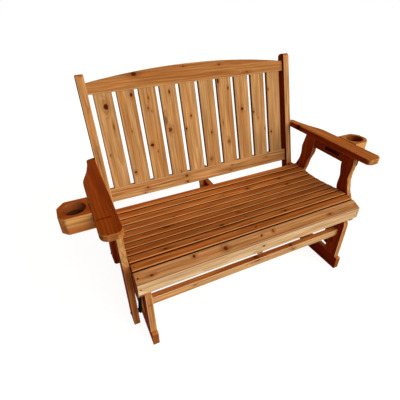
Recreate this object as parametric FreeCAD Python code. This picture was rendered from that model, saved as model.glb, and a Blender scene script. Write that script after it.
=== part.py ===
import FreeCAD, Part
import math
import os

# Cedar glider bench: a slatted two-seat bench that hangs on four steel links from a
# low stand. Millimetres. X runs along the seat, Y from front to back, Z up.
# Outlines are drawn with Y counted from the toe of the stand, and every piece is
# moved at the end so that the origin is under the middle of the whole bench.

# Overall sizes
seat_half_length = 595.0
seat_height = 441.8
arm_rise = 207.2
arm_height = seat_height + arm_rise
recline_deg = 15.7

# Board thicknesses and edges
slat_thickness = 19.0
leg_thickness = 28.0
stand_thickness = 30.0
rail_thickness = 30.0
arm_thickness = 31.0
board_easing = 3.0
slat_easing = 5.5
nose_easing = 2.0
arm_easing = 4.5
apron_easing = 1.5
stand_easing = 2.0

# Gaps between neighbours along X
slat_end_gap = 2.0
link_gap = 29.0
rib_clearance = 1.0
rib_thickness = link_gap - rib_clearance
leg_inner_x = seat_half_length + slat_end_gap
leg_outer_x = leg_inner_x + leg_thickness
stand_outer_x = leg_inner_x - link_gap
stand_inner_x = stand_outer_x - stand_thickness

# Seat curve and slats
slat_pitch = 46.0
slat_gap = 6.0
nose_gap = 0.6
flat_slat_count = 10
seat_nose_y = 3.0
seat_first_y = 57.0
nose_top_z = seat_height - 20.8
nose_bottom_z = nose_top_z - 64.0
seat_wave_depth = 9.2
seat_crest_y = 110.0
seat_half_wave = 235.0
seat_front_dip = 3.7

# Seat ribs and the brace behind the middle one
rib_bottom_z = seat_height - 111.8
brace_width = 55.0
brace_thickness = 22.0
brace_centre_x = -13.0

# Back frame, drawn flat and then leaned back
post_width = 38.0
post_depth = 54.0
post_foot_s = -67.5
post_top_s = 643.0
post_top_radius = 20.0
post_hinge_y = seat_first_y + flat_slat_count * slat_pitch + 45.0
post_hinge_z = seat_height - 1.8
rail_setback = 14.5
bottom_rail_low_s = 12.0
bottom_rail_high_s = 83.0
top_rail_low_s = 551.5
top_rail_end_s = 604.0
top_rail_crown_s = 645.0
back_slat_count = 10
back_slat_pitch = 109.2
back_slat_width = 89.0
back_slat_thickness = 18.5
back_slat_setback = 19.0
tenon_length = 10.0
tenon_clearance = 0.3

# Pivots of the links
upper_pivot_y = 58.0
upper_pivot_z = 300.0
lower_pivot_y = 135.0
lower_pivot_z = 108.0
rear_lower_pivot_y = post_hinge_y + 28.0
rear_link_lean_deg = 12.8

# Bench legs and aprons
leg_foot_z = 63.0
foot_radius = 26.0
rear_leg_width = 80.0
rear_leg_seat_y = post_hinge_y - 78.0
rear_leg_seat_z = seat_height - 7.8
apron_front_y = 190.0
apron_back_y = rear_leg_seat_y - 80.0
apron_depth = 47.0

# Curved edges of the bench legs, top to bottom, as (y, drop below the arm, rounding)
front_leg_front_edge = [
    (117.0, 0.0, 0),
    (117.0, 59.0, 60),
    (124.0, 116.0, 45),
    (107.0, 186.0, 60),
    (lower_pivot_y - 50.0, 224.0, 60),
]
front_leg_back_edge = [
    (apron_front_y, 0.0, 0),
    (apron_front_y, 64.0, 60),
    (178.0, 122.0, 70),
    (183.0, 180.0, 60),
    (lower_pivot_y + 40.0, 217.0, 60),
]
rear_leg_front_edge = [
    (apron_back_y, 0.0, 0),
    (apron_back_y, 85.0, 60),
    (rear_leg_seat_y - 56.0, 146.0, 50),
]
rear_leg_back_edge = [
    (rear_leg_seat_y - 7.0, 0.0, 0),
    (rear_leg_seat_y + 12.0, 78.0, 60),
    (rear_leg_seat_y + 8.0, 122.0, 40),
    (rear_leg_seat_y + 15.0, 160.0, 45),
]
rear_leg_throat = 8.0
rear_leg_throat_rise = 26.0
rear_leg_throat_radius = 60.0
rear_leg_heel_radius = 50.0

# Corbels on the legs' outer faces
corbel_front_y = 138.0
corbel_width = 25.0
corbel_reach = 38.0
corbel_stem = 23.0
corbel_bottom_z = arm_height - 213.0
corbel_flare_z = arm_height - 74.0
corbel_lip = 57.0
corbel_bottom_radius = 12.0
corbel_flare_radius = 24.0
corbel_lip_radius = 6.0

# Arms: they reach a little past the leaning posts and narrow in an S towards them
arm_front_y = 30.0
arm_past_post = 47.25
arm_back_y = (
    post_hinge_y
    + (arm_height - post_hinge_z) * math.tan(math.radians(recline_deg))
    + arm_past_post
)
arm_width = 86.0
arm_taper_y = arm_back_y - 223.0
arm_outline = [
    (0.0, arm_front_y, 28.0),
    (arm_width, arm_front_y, 36.0),
    (arm_width, arm_taper_y, 150.0),
    (58.0, arm_taper_y + 85.0, 150.0),
    (44.0, arm_back_y - 68.0, 100.0),
    (40.0, arm_back_y - 17.0, 14.0),
    (0.0, arm_back_y, 8.0),
]

# Cup holders
cup_radius = 45.0
cup_floor = 8.0
cup_gap = 0.8
cup_seam_easing = 0.5
cup_board_thickness = 37.0
cup_block_length = 120.0
cup_block_width = 124.0
cup_centre_inset = 57.5
cup_back_clip = 28.0
cup_back_clip_depth = 36.0
cup_clip_radius = {"left": 14.0, "right": 26.0}
tongue_thickness = 22.0
tongue_reach = 20.0
tongue_width = 106.0
tongue_below_arm = 9.5
tongue_low_z = arm_height - tongue_below_arm - tongue_thickness
tongue_clearance = 1.5

# The right cup holder sits a little further back and has a larger front corner cut
cup_front_y = {"left": 187.0, "right": 199.0}
cup_front_clip = {"left": 24.0, "right": 34.0}

# Stand
runner_height = 84.0
toe_height = 78.0
toe_reach = 18.0
toe_foot_radius = 4.0
toe_top_radius = 8.0
stand_leg_depth = 80.0
stand_leg_top_z = upper_pivot_z + 42.0
stand_leg_front_radius = 40.0
stand_leg_back_radius = 10.0
stretcher_front_y = 48.0
stretcher_depth = 30.0
stretcher_low_z = 222.0
stretcher_high_z = 263.0

# Links, bolts and screws
link_width = 32.0
link_thickness = 8.0
link_easing = 1.0
bolt_radius = 4.0
pivot_clearance = 0.05
open_pivot_clearance = 2.8
face_clearance = 0.3
washer_radius = 11.0
washer_thickness = 1.5
head_radius = 10.0
head_height = 4.5
nut_flat_radius = 6.5
nut_height = 6.5
screw_shank_radius = 2.0
screw_head_radius = 4.0
screw_head_height = 2.5
screw_sink = 5.0
screw_hole_play = 0.1
screw_length = 42.0
post_screw_length = 60.0
rib_screw_rise = 25.0
leg_screw_ys = [lower_pivot_y - 20, lower_pivot_y + 20, rear_leg_seat_y - 15, rear_leg_seat_y + 22]
arm_screw_ys = [lower_pivot_y - 5, apron_front_y - 15, apron_back_y + 20, apron_back_y + 50]

# How far cutters run past a face, and how close points, levels and angles count as one
overrun = 1.0
same_point = 1e-4
same_level = 1e-6
straight_deg = 179.5

# The rear links are as long as the front ones and stand steeper, so that the lines
# of both pairs meet below the bench's centre of gravity and it hangs level
link_length = math.hypot(lower_pivot_y - upper_pivot_y, upper_pivot_z - lower_pivot_z)
rear_upper_pivot_y = rear_lower_pivot_y + link_length * math.sin(math.radians(rear_link_lean_deg))
rear_lower_pivot_z = upper_pivot_z - link_length * math.cos(math.radians(rear_link_lean_deg))
stand_depth = rear_upper_pivot_y + upper_pivot_y


def to_space(plane, a, b, level):
    """Point of an outline in space: the outline's plane is YZ, XY or XZ."""
    if plane == "YZ":
        return FreeCAD.Vector(level, a, b)
    if plane == "XY":
        return FreeCAD.Vector(a, b, level)
    return FreeCAD.Vector(a, level, b)


def rounded_corner(before, corner, after, radius):
    """Start, middle and end of the arc that rounds a corner; None if it is sharp."""
    if radius <= 0:
        return None
    to_before = (before - corner).normalize()
    to_after = (after - corner).normalize()
    opening = to_before.getAngle(to_after)
    if opening > math.radians(straight_deg):
        return None
    cut = radius / math.tan(opening / 2)
    middle = (to_before + to_after).normalize()
    reach = radius / math.sin(opening / 2) - radius
    return corner + to_before * cut, corner + middle * reach, corner + to_after * cut


def outline(corners, plane, level):
    """Closed wire through corners given as (a, b, radius)."""
    points = [to_space(plane, a, b, level) for a, b, radius in corners]
    count = len(points)
    arcs = []
    for i, corner in enumerate(corners):
        arcs.append(rounded_corner(points[i - 1], points[i], points[(i + 1) % count], corner[2]))
    edges = []
    for i in range(count):
        following = (i + 1) % count
        start = arcs[i][2] if arcs[i] else points[i]
        end = arcs[following][0] if arcs[following] else points[following]
        if start.distanceToPoint(end) > same_point:
            edges.append(Part.LineSegment(start, end).toShape())
        if arcs[following]:
            edges.append(Part.Arc(*arcs[following]).toShape())
    return Part.Wire(Part.__sortEdges__(edges))


def board(corners, plane, start, end, easing=board_easing):
    """Board of the given outline between two levels, its two faces' edges eased."""
    solid = blank(corners, plane, start, end)
    if easing <= 0:
        return solid
    across = to_space(plane, 0, 0, 1)
    rims = [edge for edge in solid.Edges if lies_flat(edge, across)]
    return solid.makeFillet(easing, rims)


def blank(corners, plane, start, end):
    """Board of the given outline between two levels, its edges sharp."""
    face = Part.Face(outline(corners, plane, start))
    return face.extrude(to_space(plane, 0, 0, end - start))


def eased_at(solid, z, easing):
    """The solid with its edges at one height eased."""
    rims = [edge for edge in solid.Edges if all(abs(v.Z - z) < same_level for v in edge.Vertexes)]
    return solid.makeFillet(easing, rims)


def lies_flat(edge, across):
    """True when the edge stays at one level along the direction across."""
    levels = [vertex.Point.dot(across) for vertex in edge.Vertexes]
    return max(levels) - min(levels) < same_level


def rod(x_from, x_to, y, z, radius):
    """Round bar along X."""
    start = FreeCAD.Vector(min(x_from, x_to), y, z)
    return Part.makeCylinder(radius, abs(x_to - x_from), start, FreeCAD.Vector(1, 0, 0))


def mirrored(shape):
    """The same piece on the left side."""
    return shape.mirror(FreeCAD.Vector(0, 0, 0), FreeCAD.Vector(1, 0, 0))


def pair(name, shape):
    """Right and left copies of a piece that is drawn on the right."""
    return {name + "_right": shape, name + "_left": mirrored(shape)}


def screw_set(head_point, direction, length=screw_length):
    """Screw sunk below head_point, and the counterbored hole that takes it."""
    axis = FreeCAD.Vector(direction).normalize()
    seat = head_point + axis * screw_sink
    under_head = seat + axis * screw_head_height
    head = Part.makeCylinder(screw_head_radius, screw_head_height, seat, axis)
    shank = Part.makeCylinder(screw_shank_radius, length - screw_head_height, under_head, axis)
    bore = Part.makeCylinder(
        screw_head_radius + screw_hole_play, screw_sink + screw_head_height, head_point, axis
    )
    hole = Part.makeCylinder(screw_shank_radius + screw_hole_play, length + overrun, seat, axis)
    return head.fuse(shank), bore.fuse(hole)


def back_y(y):
    """The place that mirrors y front to back about the middle of the stand."""
    return stand_depth - y


def upper_pivot_places():
    """Upper pivots as (y, z), front and rear."""
    return [(upper_pivot_y, upper_pivot_z), (rear_upper_pivot_y, upper_pivot_z)]


def lower_pivot_places():
    """Lower pivots as (y, z), front and rear."""
    return [(lower_pivot_y, lower_pivot_z), (rear_lower_pivot_y, rear_lower_pivot_z)]


def seat_line(y):
    """Height of the seat's top: a dip between two crests, eased down at the front."""
    wave = seat_height + seat_wave_depth * math.cos(math.pi * (y - seat_crest_y) / seat_half_wave)
    front = max(0.0, (seat_first_y + slat_pitch - y) / slat_pitch)
    return wave - seat_front_dip * front**2


def seat_vertices():
    """Points where the tops of neighbouring seat slats would meet, front to back."""
    points = [FreeCAD.Vector(0, seat_nose_y, nose_bottom_z), FreeCAD.Vector(0, seat_nose_y, nose_top_z)]
    for i in range(flat_slat_count + 1):
        y = seat_first_y + i * slat_pitch
        points.append(FreeCAD.Vector(0, y, seat_line(y)))
    return points


def inward(start, end):
    """Unit vector from the seat's top into the slat, square to its top."""
    run = (end - start).normalize()
    return FreeCAD.Vector(0, run.z, -run.y)


def seat_underside(points):
    """The seat's vertices moved through the thickness of the slats."""
    under = [points[0] + inward(points[0], points[1]) * slat_thickness]
    for i in range(1, len(points) - 1):
        first = inward(points[i - 1], points[i])
        second = inward(points[i], points[i + 1])
        middle = (first + second).normalize()
        under.append(points[i] + middle * (slat_thickness / middle.dot(first)))
    under.append(points[-1] + inward(points[-2], points[-1]) * slat_thickness)
    return under


def end_gap(vertex):
    """Gap between the slats that meet at a seat vertex: tight where the nose turns down."""
    return nose_gap if vertex == 1 else slat_gap


def seat_slats():
    """Seat slats from the upright nose slat to the rear one, and their screws."""
    points = seat_vertices()
    under = seat_underside(points)
    rib_middle_x = leg_inner_x - rib_thickness / 2
    slats = {}
    screws = []
    holes = []
    for i in range(len(points) - 1):
        run = (points[i + 1] - points[i]).normalize()
        ahead = run * (end_gap(i) / 2)
        behind = run * (end_gap(i + 1) / 2)
        section = [points[i] + ahead, points[i + 1] - behind, under[i + 1] - behind, under[i] + ahead]
        left_end = FreeCAD.Vector(-seat_half_length, 0, 0)
        wire = Part.makePolygon([point + left_end for point in section + section[:1]])
        slat = Part.Face(wire).extrude(FreeCAD.Vector(2 * seat_half_length, 0, 0))
        down = inward(points[i], points[i + 1])
        top_edges = [edge for edge in slat.Edges if on_plane(edge, points[i], down)]
        slat = slat.makeFillet(nose_easing if i < 2 else slat_easing, top_edges)
        middle = (section[0] + section[1]) * 0.5
        for x in (-rib_middle_x, 0.0, rib_middle_x):
            screw, hole = screw_set(middle + FreeCAD.Vector(x, 0, 0), down)
            screws.append(screw)
            holes.append(hole)
            slat = slat.cut(hole)
        slats[f"seat_slat_{i + 1:02d}"] = slat
    return slats, screws, holes


def on_plane(edge, origin, normal):
    """True when the whole edge lies on the plane."""
    return all(abs((vertex.Point - origin).dot(normal)) < same_level for vertex in edge.Vertexes)


def post_front_y(z):
    """Y of the leaning posts' front face at a height."""
    return post_hinge_y + (z - post_hinge_z) * math.tan(math.radians(recline_deg))


def rib_corners(depth):
    """Outline of a seat rib: facets under the slats, then on to a leaning back end.

    depth is how far behind the posts' front face the rib ends.
    """
    under = seat_underside(seat_vertices())
    shelf_z = under[-1].z
    behind = depth / math.cos(math.radians(recline_deg))
    corners = [(under[0].y, rib_bottom_z, 0)]
    corners += [(point.y, point.z, 0) for point in under[1:]]
    corners += [(post_front_y(shelf_z) + behind, shelf_z, 0)]
    corners += [(post_front_y(rib_bottom_z) + behind, rib_bottom_z, 0)]
    return corners


def seat_ribs(holes):
    """Two side ribs that reach the posts, and a middle rib."""
    cutter = Part.makeCompound(holes)
    side = board(rib_corners(0), "YZ", leg_inner_x - rib_thickness, leg_inner_x, 0)
    rail_back = rail_setback + rail_thickness
    centre = board(rib_corners(rail_back), "YZ", -rib_thickness / 2, rib_thickness / 2, 0)
    ribs = {name: rib.cut(cutter) for name, rib in pair("seat_rib", side).items()}
    ribs["seat_rib_centre"] = centre.cut(cutter)
    return ribs


def leaned(shape):
    """Lean a piece of the back frame, drawn with Y through it and Z up it."""
    shape.rotate(FreeCAD.Vector(0, 0, 0), FreeCAD.Vector(1, 0, 0), -recline_deg)
    shape.translate(FreeCAD.Vector(0, post_hinge_y, post_hinge_z))
    return shape


def post():
    """Right back post, upright and with its front face at Y 0."""
    corners = [
        (0, post_foot_s, 0),
        (0, post_top_s, post_top_radius),
        (post_depth, post_top_s, post_top_radius),
        (post_depth, post_foot_s, 0),
    ]
    return board(corners, "YZ", leg_inner_x - post_width, leg_inner_x)


def back_slat_box(centre, low, high, play):
    """Plain block of one back slat's section, grown by play on each side."""
    return Part.makeBox(
        back_slat_width + 2 * play,
        back_slat_thickness + 2 * play,
        high - low + 2 * play,
        FreeCAD.Vector(centre - back_slat_width / 2 - play, back_slat_setback - play, low - play),
    )


def back_frame():
    """Posts, two rails and the slats that sit in pockets in the rails."""
    half = leg_inner_x - post_width
    rail_back = rail_setback + rail_thickness
    low_corners = [
        (-half, bottom_rail_low_s, 0),
        (half, bottom_rail_low_s, 0),
        (half, bottom_rail_high_s, 0),
        (-half, bottom_rail_high_s, 0),
    ]
    bottom = board(low_corners, "XZ", rail_setback, rail_back)
    top = arched_rail(half, rail_back)
    slat_low = bottom_rail_high_s - tenon_length
    slat_high = top_rail_low_s + tenon_length
    pieces = {}
    for i in range(back_slat_count):
        centre = (i - (back_slat_count - 1) / 2) * back_slat_pitch
        slat = back_slat_box(centre, slat_low, slat_high, 0)
        upright = [edge for edge in slat.Edges if not lies_flat(edge, FreeCAD.Vector(0, 0, 1))]
        slat = slat.makeFillet(board_easing, upright)
        pocket = back_slat_box(centre, slat_low, slat_high, tenon_clearance)
        bottom = bottom.cut(pocket)
        top = top.cut(pocket)
        pieces[f"back_slat_{i + 1:02d}"] = slat
    pieces["bottom_rail"] = bottom
    pieces["top_rail"] = top
    pieces.update(pair("back_post", post()))
    return {name: leaned(piece) for name, piece in pieces.items()}


def arched_rail(half, rail_back):
    """Top rail: straight below, one long arc above."""
    low_left = FreeCAD.Vector(-half, rail_setback, top_rail_low_s)
    low_right = FreeCAD.Vector(half, rail_setback, top_rail_low_s)
    end_right = FreeCAD.Vector(half, rail_setback, top_rail_end_s)
    end_left = FreeCAD.Vector(-half, rail_setback, top_rail_end_s)
    crown = FreeCAD.Vector(0, rail_setback, top_rail_crown_s)
    edges = [
        Part.LineSegment(low_left, low_right).toShape(),
        Part.LineSegment(low_right, end_right).toShape(),
        Part.Arc(end_right, crown, end_left).toShape(),
        Part.LineSegment(end_left, low_left).toShape(),
    ]
    rail = Part.Face(Part.Wire(edges)).extrude(FreeCAD.Vector(0, rail_back - rail_setback, 0))
    rims = [edge for edge in rail.Edges if lies_flat(edge, FreeCAD.Vector(0, 1, 0))]
    return rail.makeFillet(board_easing, rims)


def centre_brace():
    """Flat board behind the middle rib that carries the bottom rail."""
    front = rail_setback + rail_thickness
    corners = [
        (front, post_foot_s, 0),
        (front, bottom_rail_high_s, 0),
        (front + brace_thickness, bottom_rail_high_s, 0),
        (front + brace_thickness, post_foot_s, 0),
    ]
    low_x = brace_centre_x - brace_width / 2
    return leaned(board(corners, "YZ", low_x, low_x + brace_width))


def below_arm(edge):
    """Outline points of a leg's edge given as (y, drop below the arm, rounding)."""
    return [(y, arm_height - drop, radius) for y, drop, radius in edge]


def front_leg():
    """Right front leg with its curved waist below the arm."""
    front = below_arm(front_leg_front_edge)
    back = below_arm(front_leg_back_edge)
    foot = [(front[-1][0], leg_foot_z, foot_radius), (back[-1][0], leg_foot_z, foot_radius)]
    return board(front + foot + back[::-1], "YZ", leg_inner_x, leg_outer_x)


def rear_leg():
    """Right rear leg: curved above the seat, then straight back to its pivot."""
    slope = (rear_lower_pivot_y - rear_leg_seat_y) / (rear_leg_seat_z - rear_lower_pivot_z)
    foot_y = rear_lower_pivot_y + slope * (rear_lower_pivot_z - leg_foot_z)
    half = rear_leg_width / 2
    throat_y = rear_leg_seat_y - half - rear_leg_throat
    straight = [
        (throat_y, rear_leg_seat_z + rear_leg_throat_rise, rear_leg_throat_radius),
        (foot_y - half, leg_foot_z, foot_radius),
        (foot_y + half, leg_foot_z, foot_radius),
        (rear_leg_seat_y + half, rear_leg_seat_z, rear_leg_heel_radius),
    ]
    corners = below_arm(rear_leg_front_edge) + straight + below_arm(rear_leg_back_edge)[::-1]
    return board(corners, "YZ", leg_inner_x, leg_outer_x)


def apron(side):
    """Apron between the legs, under the arm, with the slot of that side's cup holder."""
    low = arm_height - apron_depth
    corners = [
        (apron_front_y, arm_height, 0),
        (apron_back_y, arm_height, 0),
        (apron_back_y, low, 0),
        (apron_front_y, low, 0),
    ]
    slab = board(corners, "YZ", leg_inner_x, leg_outer_x, apron_easing)
    slot_front_y = tongue_front_y(side) - tongue_clearance
    slot = Part.makeBox(
        leg_thickness + 2 * overrun,
        tongue_width + 2 * tongue_clearance,
        tongue_thickness + 2 * tongue_clearance,
        FreeCAD.Vector(leg_inner_x - overrun, slot_front_y, tongue_low_z - tongue_clearance),
    )
    return slab.cut(slot)


def corbel():
    """Right bracket on the leg's outer face that carries the arm's edge."""
    corners = [
        (leg_outer_x, corbel_bottom_z, 0),
        (leg_outer_x + corbel_stem, corbel_bottom_z, corbel_bottom_radius),
        (leg_outer_x + corbel_stem, corbel_flare_z, corbel_flare_radius),
        (leg_outer_x + corbel_reach, arm_height - corbel_lip, corbel_lip_radius),
        (leg_outer_x + corbel_reach, arm_height, 0),
        (leg_outer_x, arm_height, 0),
    ]
    return board(corners, "XZ", corbel_front_y, corbel_front_y + corbel_width)


def arm():
    """Right arm: broad in front, tapering along the outer side to the post."""
    corners = [(leg_inner_x + reach, y, radius) for reach, y, radius in arm_outline]
    return board(corners, "XY", arm_height, arm_height + arm_thickness, arm_easing)


def tongue_front_y(side):
    """Front end of the tongue of one side's cup holder; its back lines up with the boards."""
    return cup_front_y[side] + cup_block_width - tongue_width


def cup_outline(side, inner_x):
    """Plan of a cup holder board from inner_x out to its clipped corners."""
    outer = leg_inner_x + arm_width + cup_gap + cup_block_length
    front = cup_front_y[side]
    back = front + cup_block_width
    clip = cup_front_clip[side]
    radius = cup_clip_radius[side]
    return [
        (inner_x, front, 0),
        (outer - clip, front, radius),
        (outer, front + clip, radius),
        (outer, back - cup_back_clip_depth, radius),
        (outer - cup_back_clip, back, radius),
        (inner_x, back, 0),
    ]


def cup_holder(side):
    """Two boards glued flush and bored for a cup; the lower one's tongue fills the slot."""
    arm_top = arm_height + arm_thickness
    seam_z = arm_top - cup_board_thickness
    low_z = seam_z - cup_board_thickness
    edge_x = leg_inner_x + arm_width + cup_gap
    upper = blank(cup_outline(side, edge_x), "XY", seam_z, arm_top)
    upper = eased_at(eased_at(upper, arm_top, board_easing), seam_z, cup_seam_easing)
    lower = blank(cup_outline(side, leg_outer_x), "XY", low_z, seam_z)
    lower = eased_at(eased_at(lower, low_z, board_easing), seam_z, cup_seam_easing)
    tongue = Part.makeBox(
        tongue_reach + board_easing,
        tongue_width,
        tongue_thickness,
        FreeCAD.Vector(leg_outer_x - tongue_reach, tongue_front_y(side), tongue_low_z),
    )
    middle_y = cup_front_y[side] + cup_block_width / 2
    floor_middle = FreeCAD.Vector(edge_x + cup_centre_inset, middle_y, low_z + cup_floor)
    well = Part.makeCylinder(cup_radius, arm_top - low_z, floor_middle)
    boards = upper.cut(well), lower.fuse(tongue).cut(well)
    return boards if side == "right" else tuple(mirrored(piece) for piece in boards)


def runner():
    """Right stand runner with a low toe at each end."""
    depth = stand_depth
    step = toe_reach + stand_leg_depth
    corners = [
        (0, 0, toe_foot_radius),
        (0, toe_height, toe_top_radius),
        (step, toe_height, 0),
        (step, runner_height, 0),
        (depth - step, runner_height, 0),
        (depth - step, toe_height, 0),
        (depth, toe_height, toe_top_radius),
        (depth, 0, toe_foot_radius),
    ]
    return board(corners, "YZ", stand_inner_x, stand_outer_x, stand_easing)


def stand_leg(flip):
    """Right stand leg, standing in the runner's notch; flip puts it at the back."""
    front = toe_reach
    back = toe_reach + stand_leg_depth
    corners = [
        (front, toe_height, 0),
        (front, stand_leg_top_z, stand_leg_front_radius),
        (back, stand_leg_top_z, stand_leg_back_radius),
        (back, toe_height, 0),
    ]
    if flip:
        corners = [(back_y(y), z, radius) for y, z, radius in corners]
    return board(corners, "YZ", stand_inner_x, stand_outer_x, stand_easing)


def stretcher(low_y):
    """Cross board between the stand's end frames."""
    corners = [
        (low_y, stretcher_low_z, 0),
        (low_y + stretcher_depth, stretcher_low_z, 0),
        (low_y + stretcher_depth, stretcher_high_z, 0),
        (low_y, stretcher_high_z, 0),
    ]
    solid = board(corners, "YZ", -stand_inner_x, stand_inner_x, 0)
    long_edges = [edge for edge in solid.Edges if not lies_flat(edge, FreeCAD.Vector(1, 0, 0))]
    return solid.makeFillet(board_easing, long_edges)


def stand_screw_places():
    """Screws through the stand's outer faces into both ends of the stretchers."""
    places = []
    height = stretcher_high_z - stretcher_low_z
    for y in (stretcher_front_y + stretcher_depth / 2, back_y(stretcher_front_y + stretcher_depth / 2)):
        for share in (1, 3):
            z = stretcher_low_z + share * height / 4
            places.append((FreeCAD.Vector(stand_outer_x, y, z), FreeCAD.Vector(-1, 0, 0)))
    return places


def bench_screw_places():
    """Screws through legs and arms into the pieces behind and below them."""
    places = []
    for y in leg_screw_ys:
        point = FreeCAD.Vector(leg_outer_x, y, rib_bottom_z + rib_screw_rise)
        places.append((point, FreeCAD.Vector(-1, 0, 0)))
    for y in arm_screw_ys:
        point = FreeCAD.Vector(leg_inner_x + leg_thickness / 2, y, arm_height + arm_thickness)
        places.append((point, FreeCAD.Vector(0, 0, -1)))
    return places


def post_screw_places():
    """Screws through the posts into the rails, in the flat back frame."""
    places = []
    depth = rail_setback + rail_thickness / 2
    for low, high in ((bottom_rail_low_s, bottom_rail_high_s), (top_rail_low_s, top_rail_end_s)):
        for share in (1, 3):
            places.append(FreeCAD.Vector(leg_inner_x, depth, low + share * (high - low) / 4))
    return places


def link(front, left, open_eye):
    """Flat steel link with an eye at each end, drawn between its two pivots."""
    end = 0 if front else 1
    top = FreeCAD.Vector(0, *upper_pivot_places()[end])
    low = FreeCAD.Vector(0, *lower_pivot_places()[end])
    side = (low - top).normalize().cross(FreeCAD.Vector(1, 0, 0)) * (link_width / 2)
    along = (low - top).normalize() * (link_width / 2)
    middle_x = stand_outer_x + link_gap / 2
    base = FreeCAD.Vector(middle_x - link_thickness / 2, 0, 0)
    edges = [
        Part.LineSegment(base + top + side, base + low + side).toShape(),
        Part.Arc(base + low + side, base + low + along, base + low - side).toShape(),
        Part.LineSegment(base + low - side, base + top - side).toShape(),
        Part.Arc(base + top - side, base + top - along, base + top + side).toShape(),
    ]
    plate = Part.Face(Part.Wire(edges)).extrude(FreeCAD.Vector(link_thickness, 0, 0))
    rims = [edge for edge in plate.Edges if lies_flat(edge, FreeCAD.Vector(1, 0, 0))]
    plate = plate.makeFillet(link_easing, rims)
    eye_start = base.x - overrun
    eye_end = base.x + link_thickness + overrun
    eye = rod(eye_start, eye_end, top.y, top.z, bolt_radius + pivot_clearance)
    play = open_pivot_clearance if open_eye else pivot_clearance
    low_eye = rod(eye_start, eye_end, low.y, low.z, bolt_radius + play)
    plate = plate.cut(eye).cut(low_eye)
    return mirrored(plate) if left else plate


def hexagon_nut(low_x, y, z):
    """Nut on a pivot bolt, from low_x along X."""
    corner_radius = nut_flat_radius / math.cos(math.pi / 6)
    points = []
    for i in range(7):
        turn = i * math.pi / 3
        corner_y = y + corner_radius * math.cos(turn)
        corner_z = z + corner_radius * math.sin(turn)
        points.append(FreeCAD.Vector(low_x, corner_y, corner_z))
    nut = Part.Face(Part.makePolygon(points)).extrude(FreeCAD.Vector(nut_height, 0, 0))
    hole = rod(low_x - overrun, low_x + nut_height + overrun, y, z, bolt_radius + pivot_clearance)
    return nut.cut(hole)


def ring(x_from, x_to, y, z):
    """Washer or spacer on a pivot bolt."""
    hole_start = min(x_from, x_to) - overrun
    hole_end = max(x_from, x_to) + overrun
    hole = rod(hole_start, hole_end, y, z, bolt_radius + pivot_clearance)
    return rod(x_from, x_to, y, z, washer_radius).cut(hole)


def carriage_bolt(head_x, end_x, y, z):
    """Bolt along X with a low domed head against a face at head_x."""
    outward = 1 if head_x > end_x else -1
    ball_radius = (head_radius**2 + head_height**2) / (2 * head_height)
    half_angle = math.asin(head_radius / ball_radius) / 2
    ball_x = head_x + outward * (head_height - ball_radius)
    apex = FreeCAD.Vector(ball_x + outward * ball_radius, y, z)
    between = FreeCAD.Vector(
        ball_x + outward * ball_radius * math.cos(half_angle), y, z + ball_radius * math.sin(half_angle)
    )
    rim = FreeCAD.Vector(head_x, y, z + head_radius)
    neck = FreeCAD.Vector(head_x, y, z + bolt_radius)
    tip = FreeCAD.Vector(end_x, y, z + bolt_radius)
    foot = FreeCAD.Vector(end_x, y, z)
    edges = [Part.Arc(apex, between, rim).toShape()]
    for start, end in ((rim, neck), (neck, tip), (tip, foot), (foot, apex)):
        edges.append(Part.LineSegment(start, end).toShape())
    half = Part.Face(Part.Wire(edges))
    return half.revolve(FreeCAD.Vector(0, y, z), FreeCAD.Vector(1, 0, 0), 360)


def pivot_hardware(head_x, board_x, toward, y, z):
    """Bolt from a head on one face, through a board, spacer and link, to its nut.

    toward is +1 or -1, the direction along X from the head to the nut.
    """
    middle_x = stand_outer_x + link_gap / 2
    link_near = middle_x - toward * (link_thickness / 2 + face_clearance)
    link_far = middle_x + toward * (link_thickness / 2 + face_clearance)
    nut_start = link_far + toward * washer_thickness
    nut_end = nut_start + toward * nut_height
    return [
        carriage_bolt(head_x, nut_end, y, z),
        ring(board_x, link_near, y, z),
        ring(link_far, nut_start, y, z),
        hexagon_nut(min(nut_start, nut_end), y, z),
    ]


def pivots():
    """Bolts of the upper pivots, held by the stand, and of the lower, by the bench."""
    upper = []
    lower = []
    for y, z in upper_pivot_places():
        upper += pivot_hardware(stand_inner_x, stand_outer_x, 1, y, z)
    for y, z in lower_pivot_places():
        lower += pivot_hardware(leg_outer_x, leg_inner_x, -1, y, z)
    upper += [mirrored(piece) for piece in upper]
    lower += [mirrored(piece) for piece in lower]
    return Part.makeCompound(upper), Part.makeCompound(lower)


def bolt_holes(x_from, x_to, places):
    """Through holes for pivot bolts at (y, z) places."""
    radius = bolt_radius + pivot_clearance
    return Part.makeCompound([rod(x_from - overrun, x_to + overrun, y, z, radius) for y, z in places])


def build_stand():
    """Runners, legs, stretchers, screws and upper pivots."""
    upper_holes = bolt_holes(stand_inner_x, stand_outer_x, upper_pivot_places())
    sets = [screw_set(point, direction) for point, direction in stand_screw_places()]
    screws = [item for screw, hole in sets for item in (screw, mirrored(screw))]
    holes = Part.makeCompound([hole for screw, hole in sets])
    both_holes = Part.makeCompound([holes, mirrored(holes)])
    pieces = {}
    pieces.update(pair("runner", runner()))
    for name, flip in (("stand_front_leg", False), ("stand_rear_leg", True)):
        pieces.update(pair(name, stand_leg(flip).cut(upper_holes).cut(holes)))
    pieces["front_stretcher"] = stretcher(stretcher_front_y).cut(both_holes)
    rear_y = back_y(stretcher_front_y + stretcher_depth)
    pieces["rear_stretcher"] = stretcher(rear_y).cut(both_holes)
    pieces["stand_screws"] = Part.makeCompound(screws)
    return pieces


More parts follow.
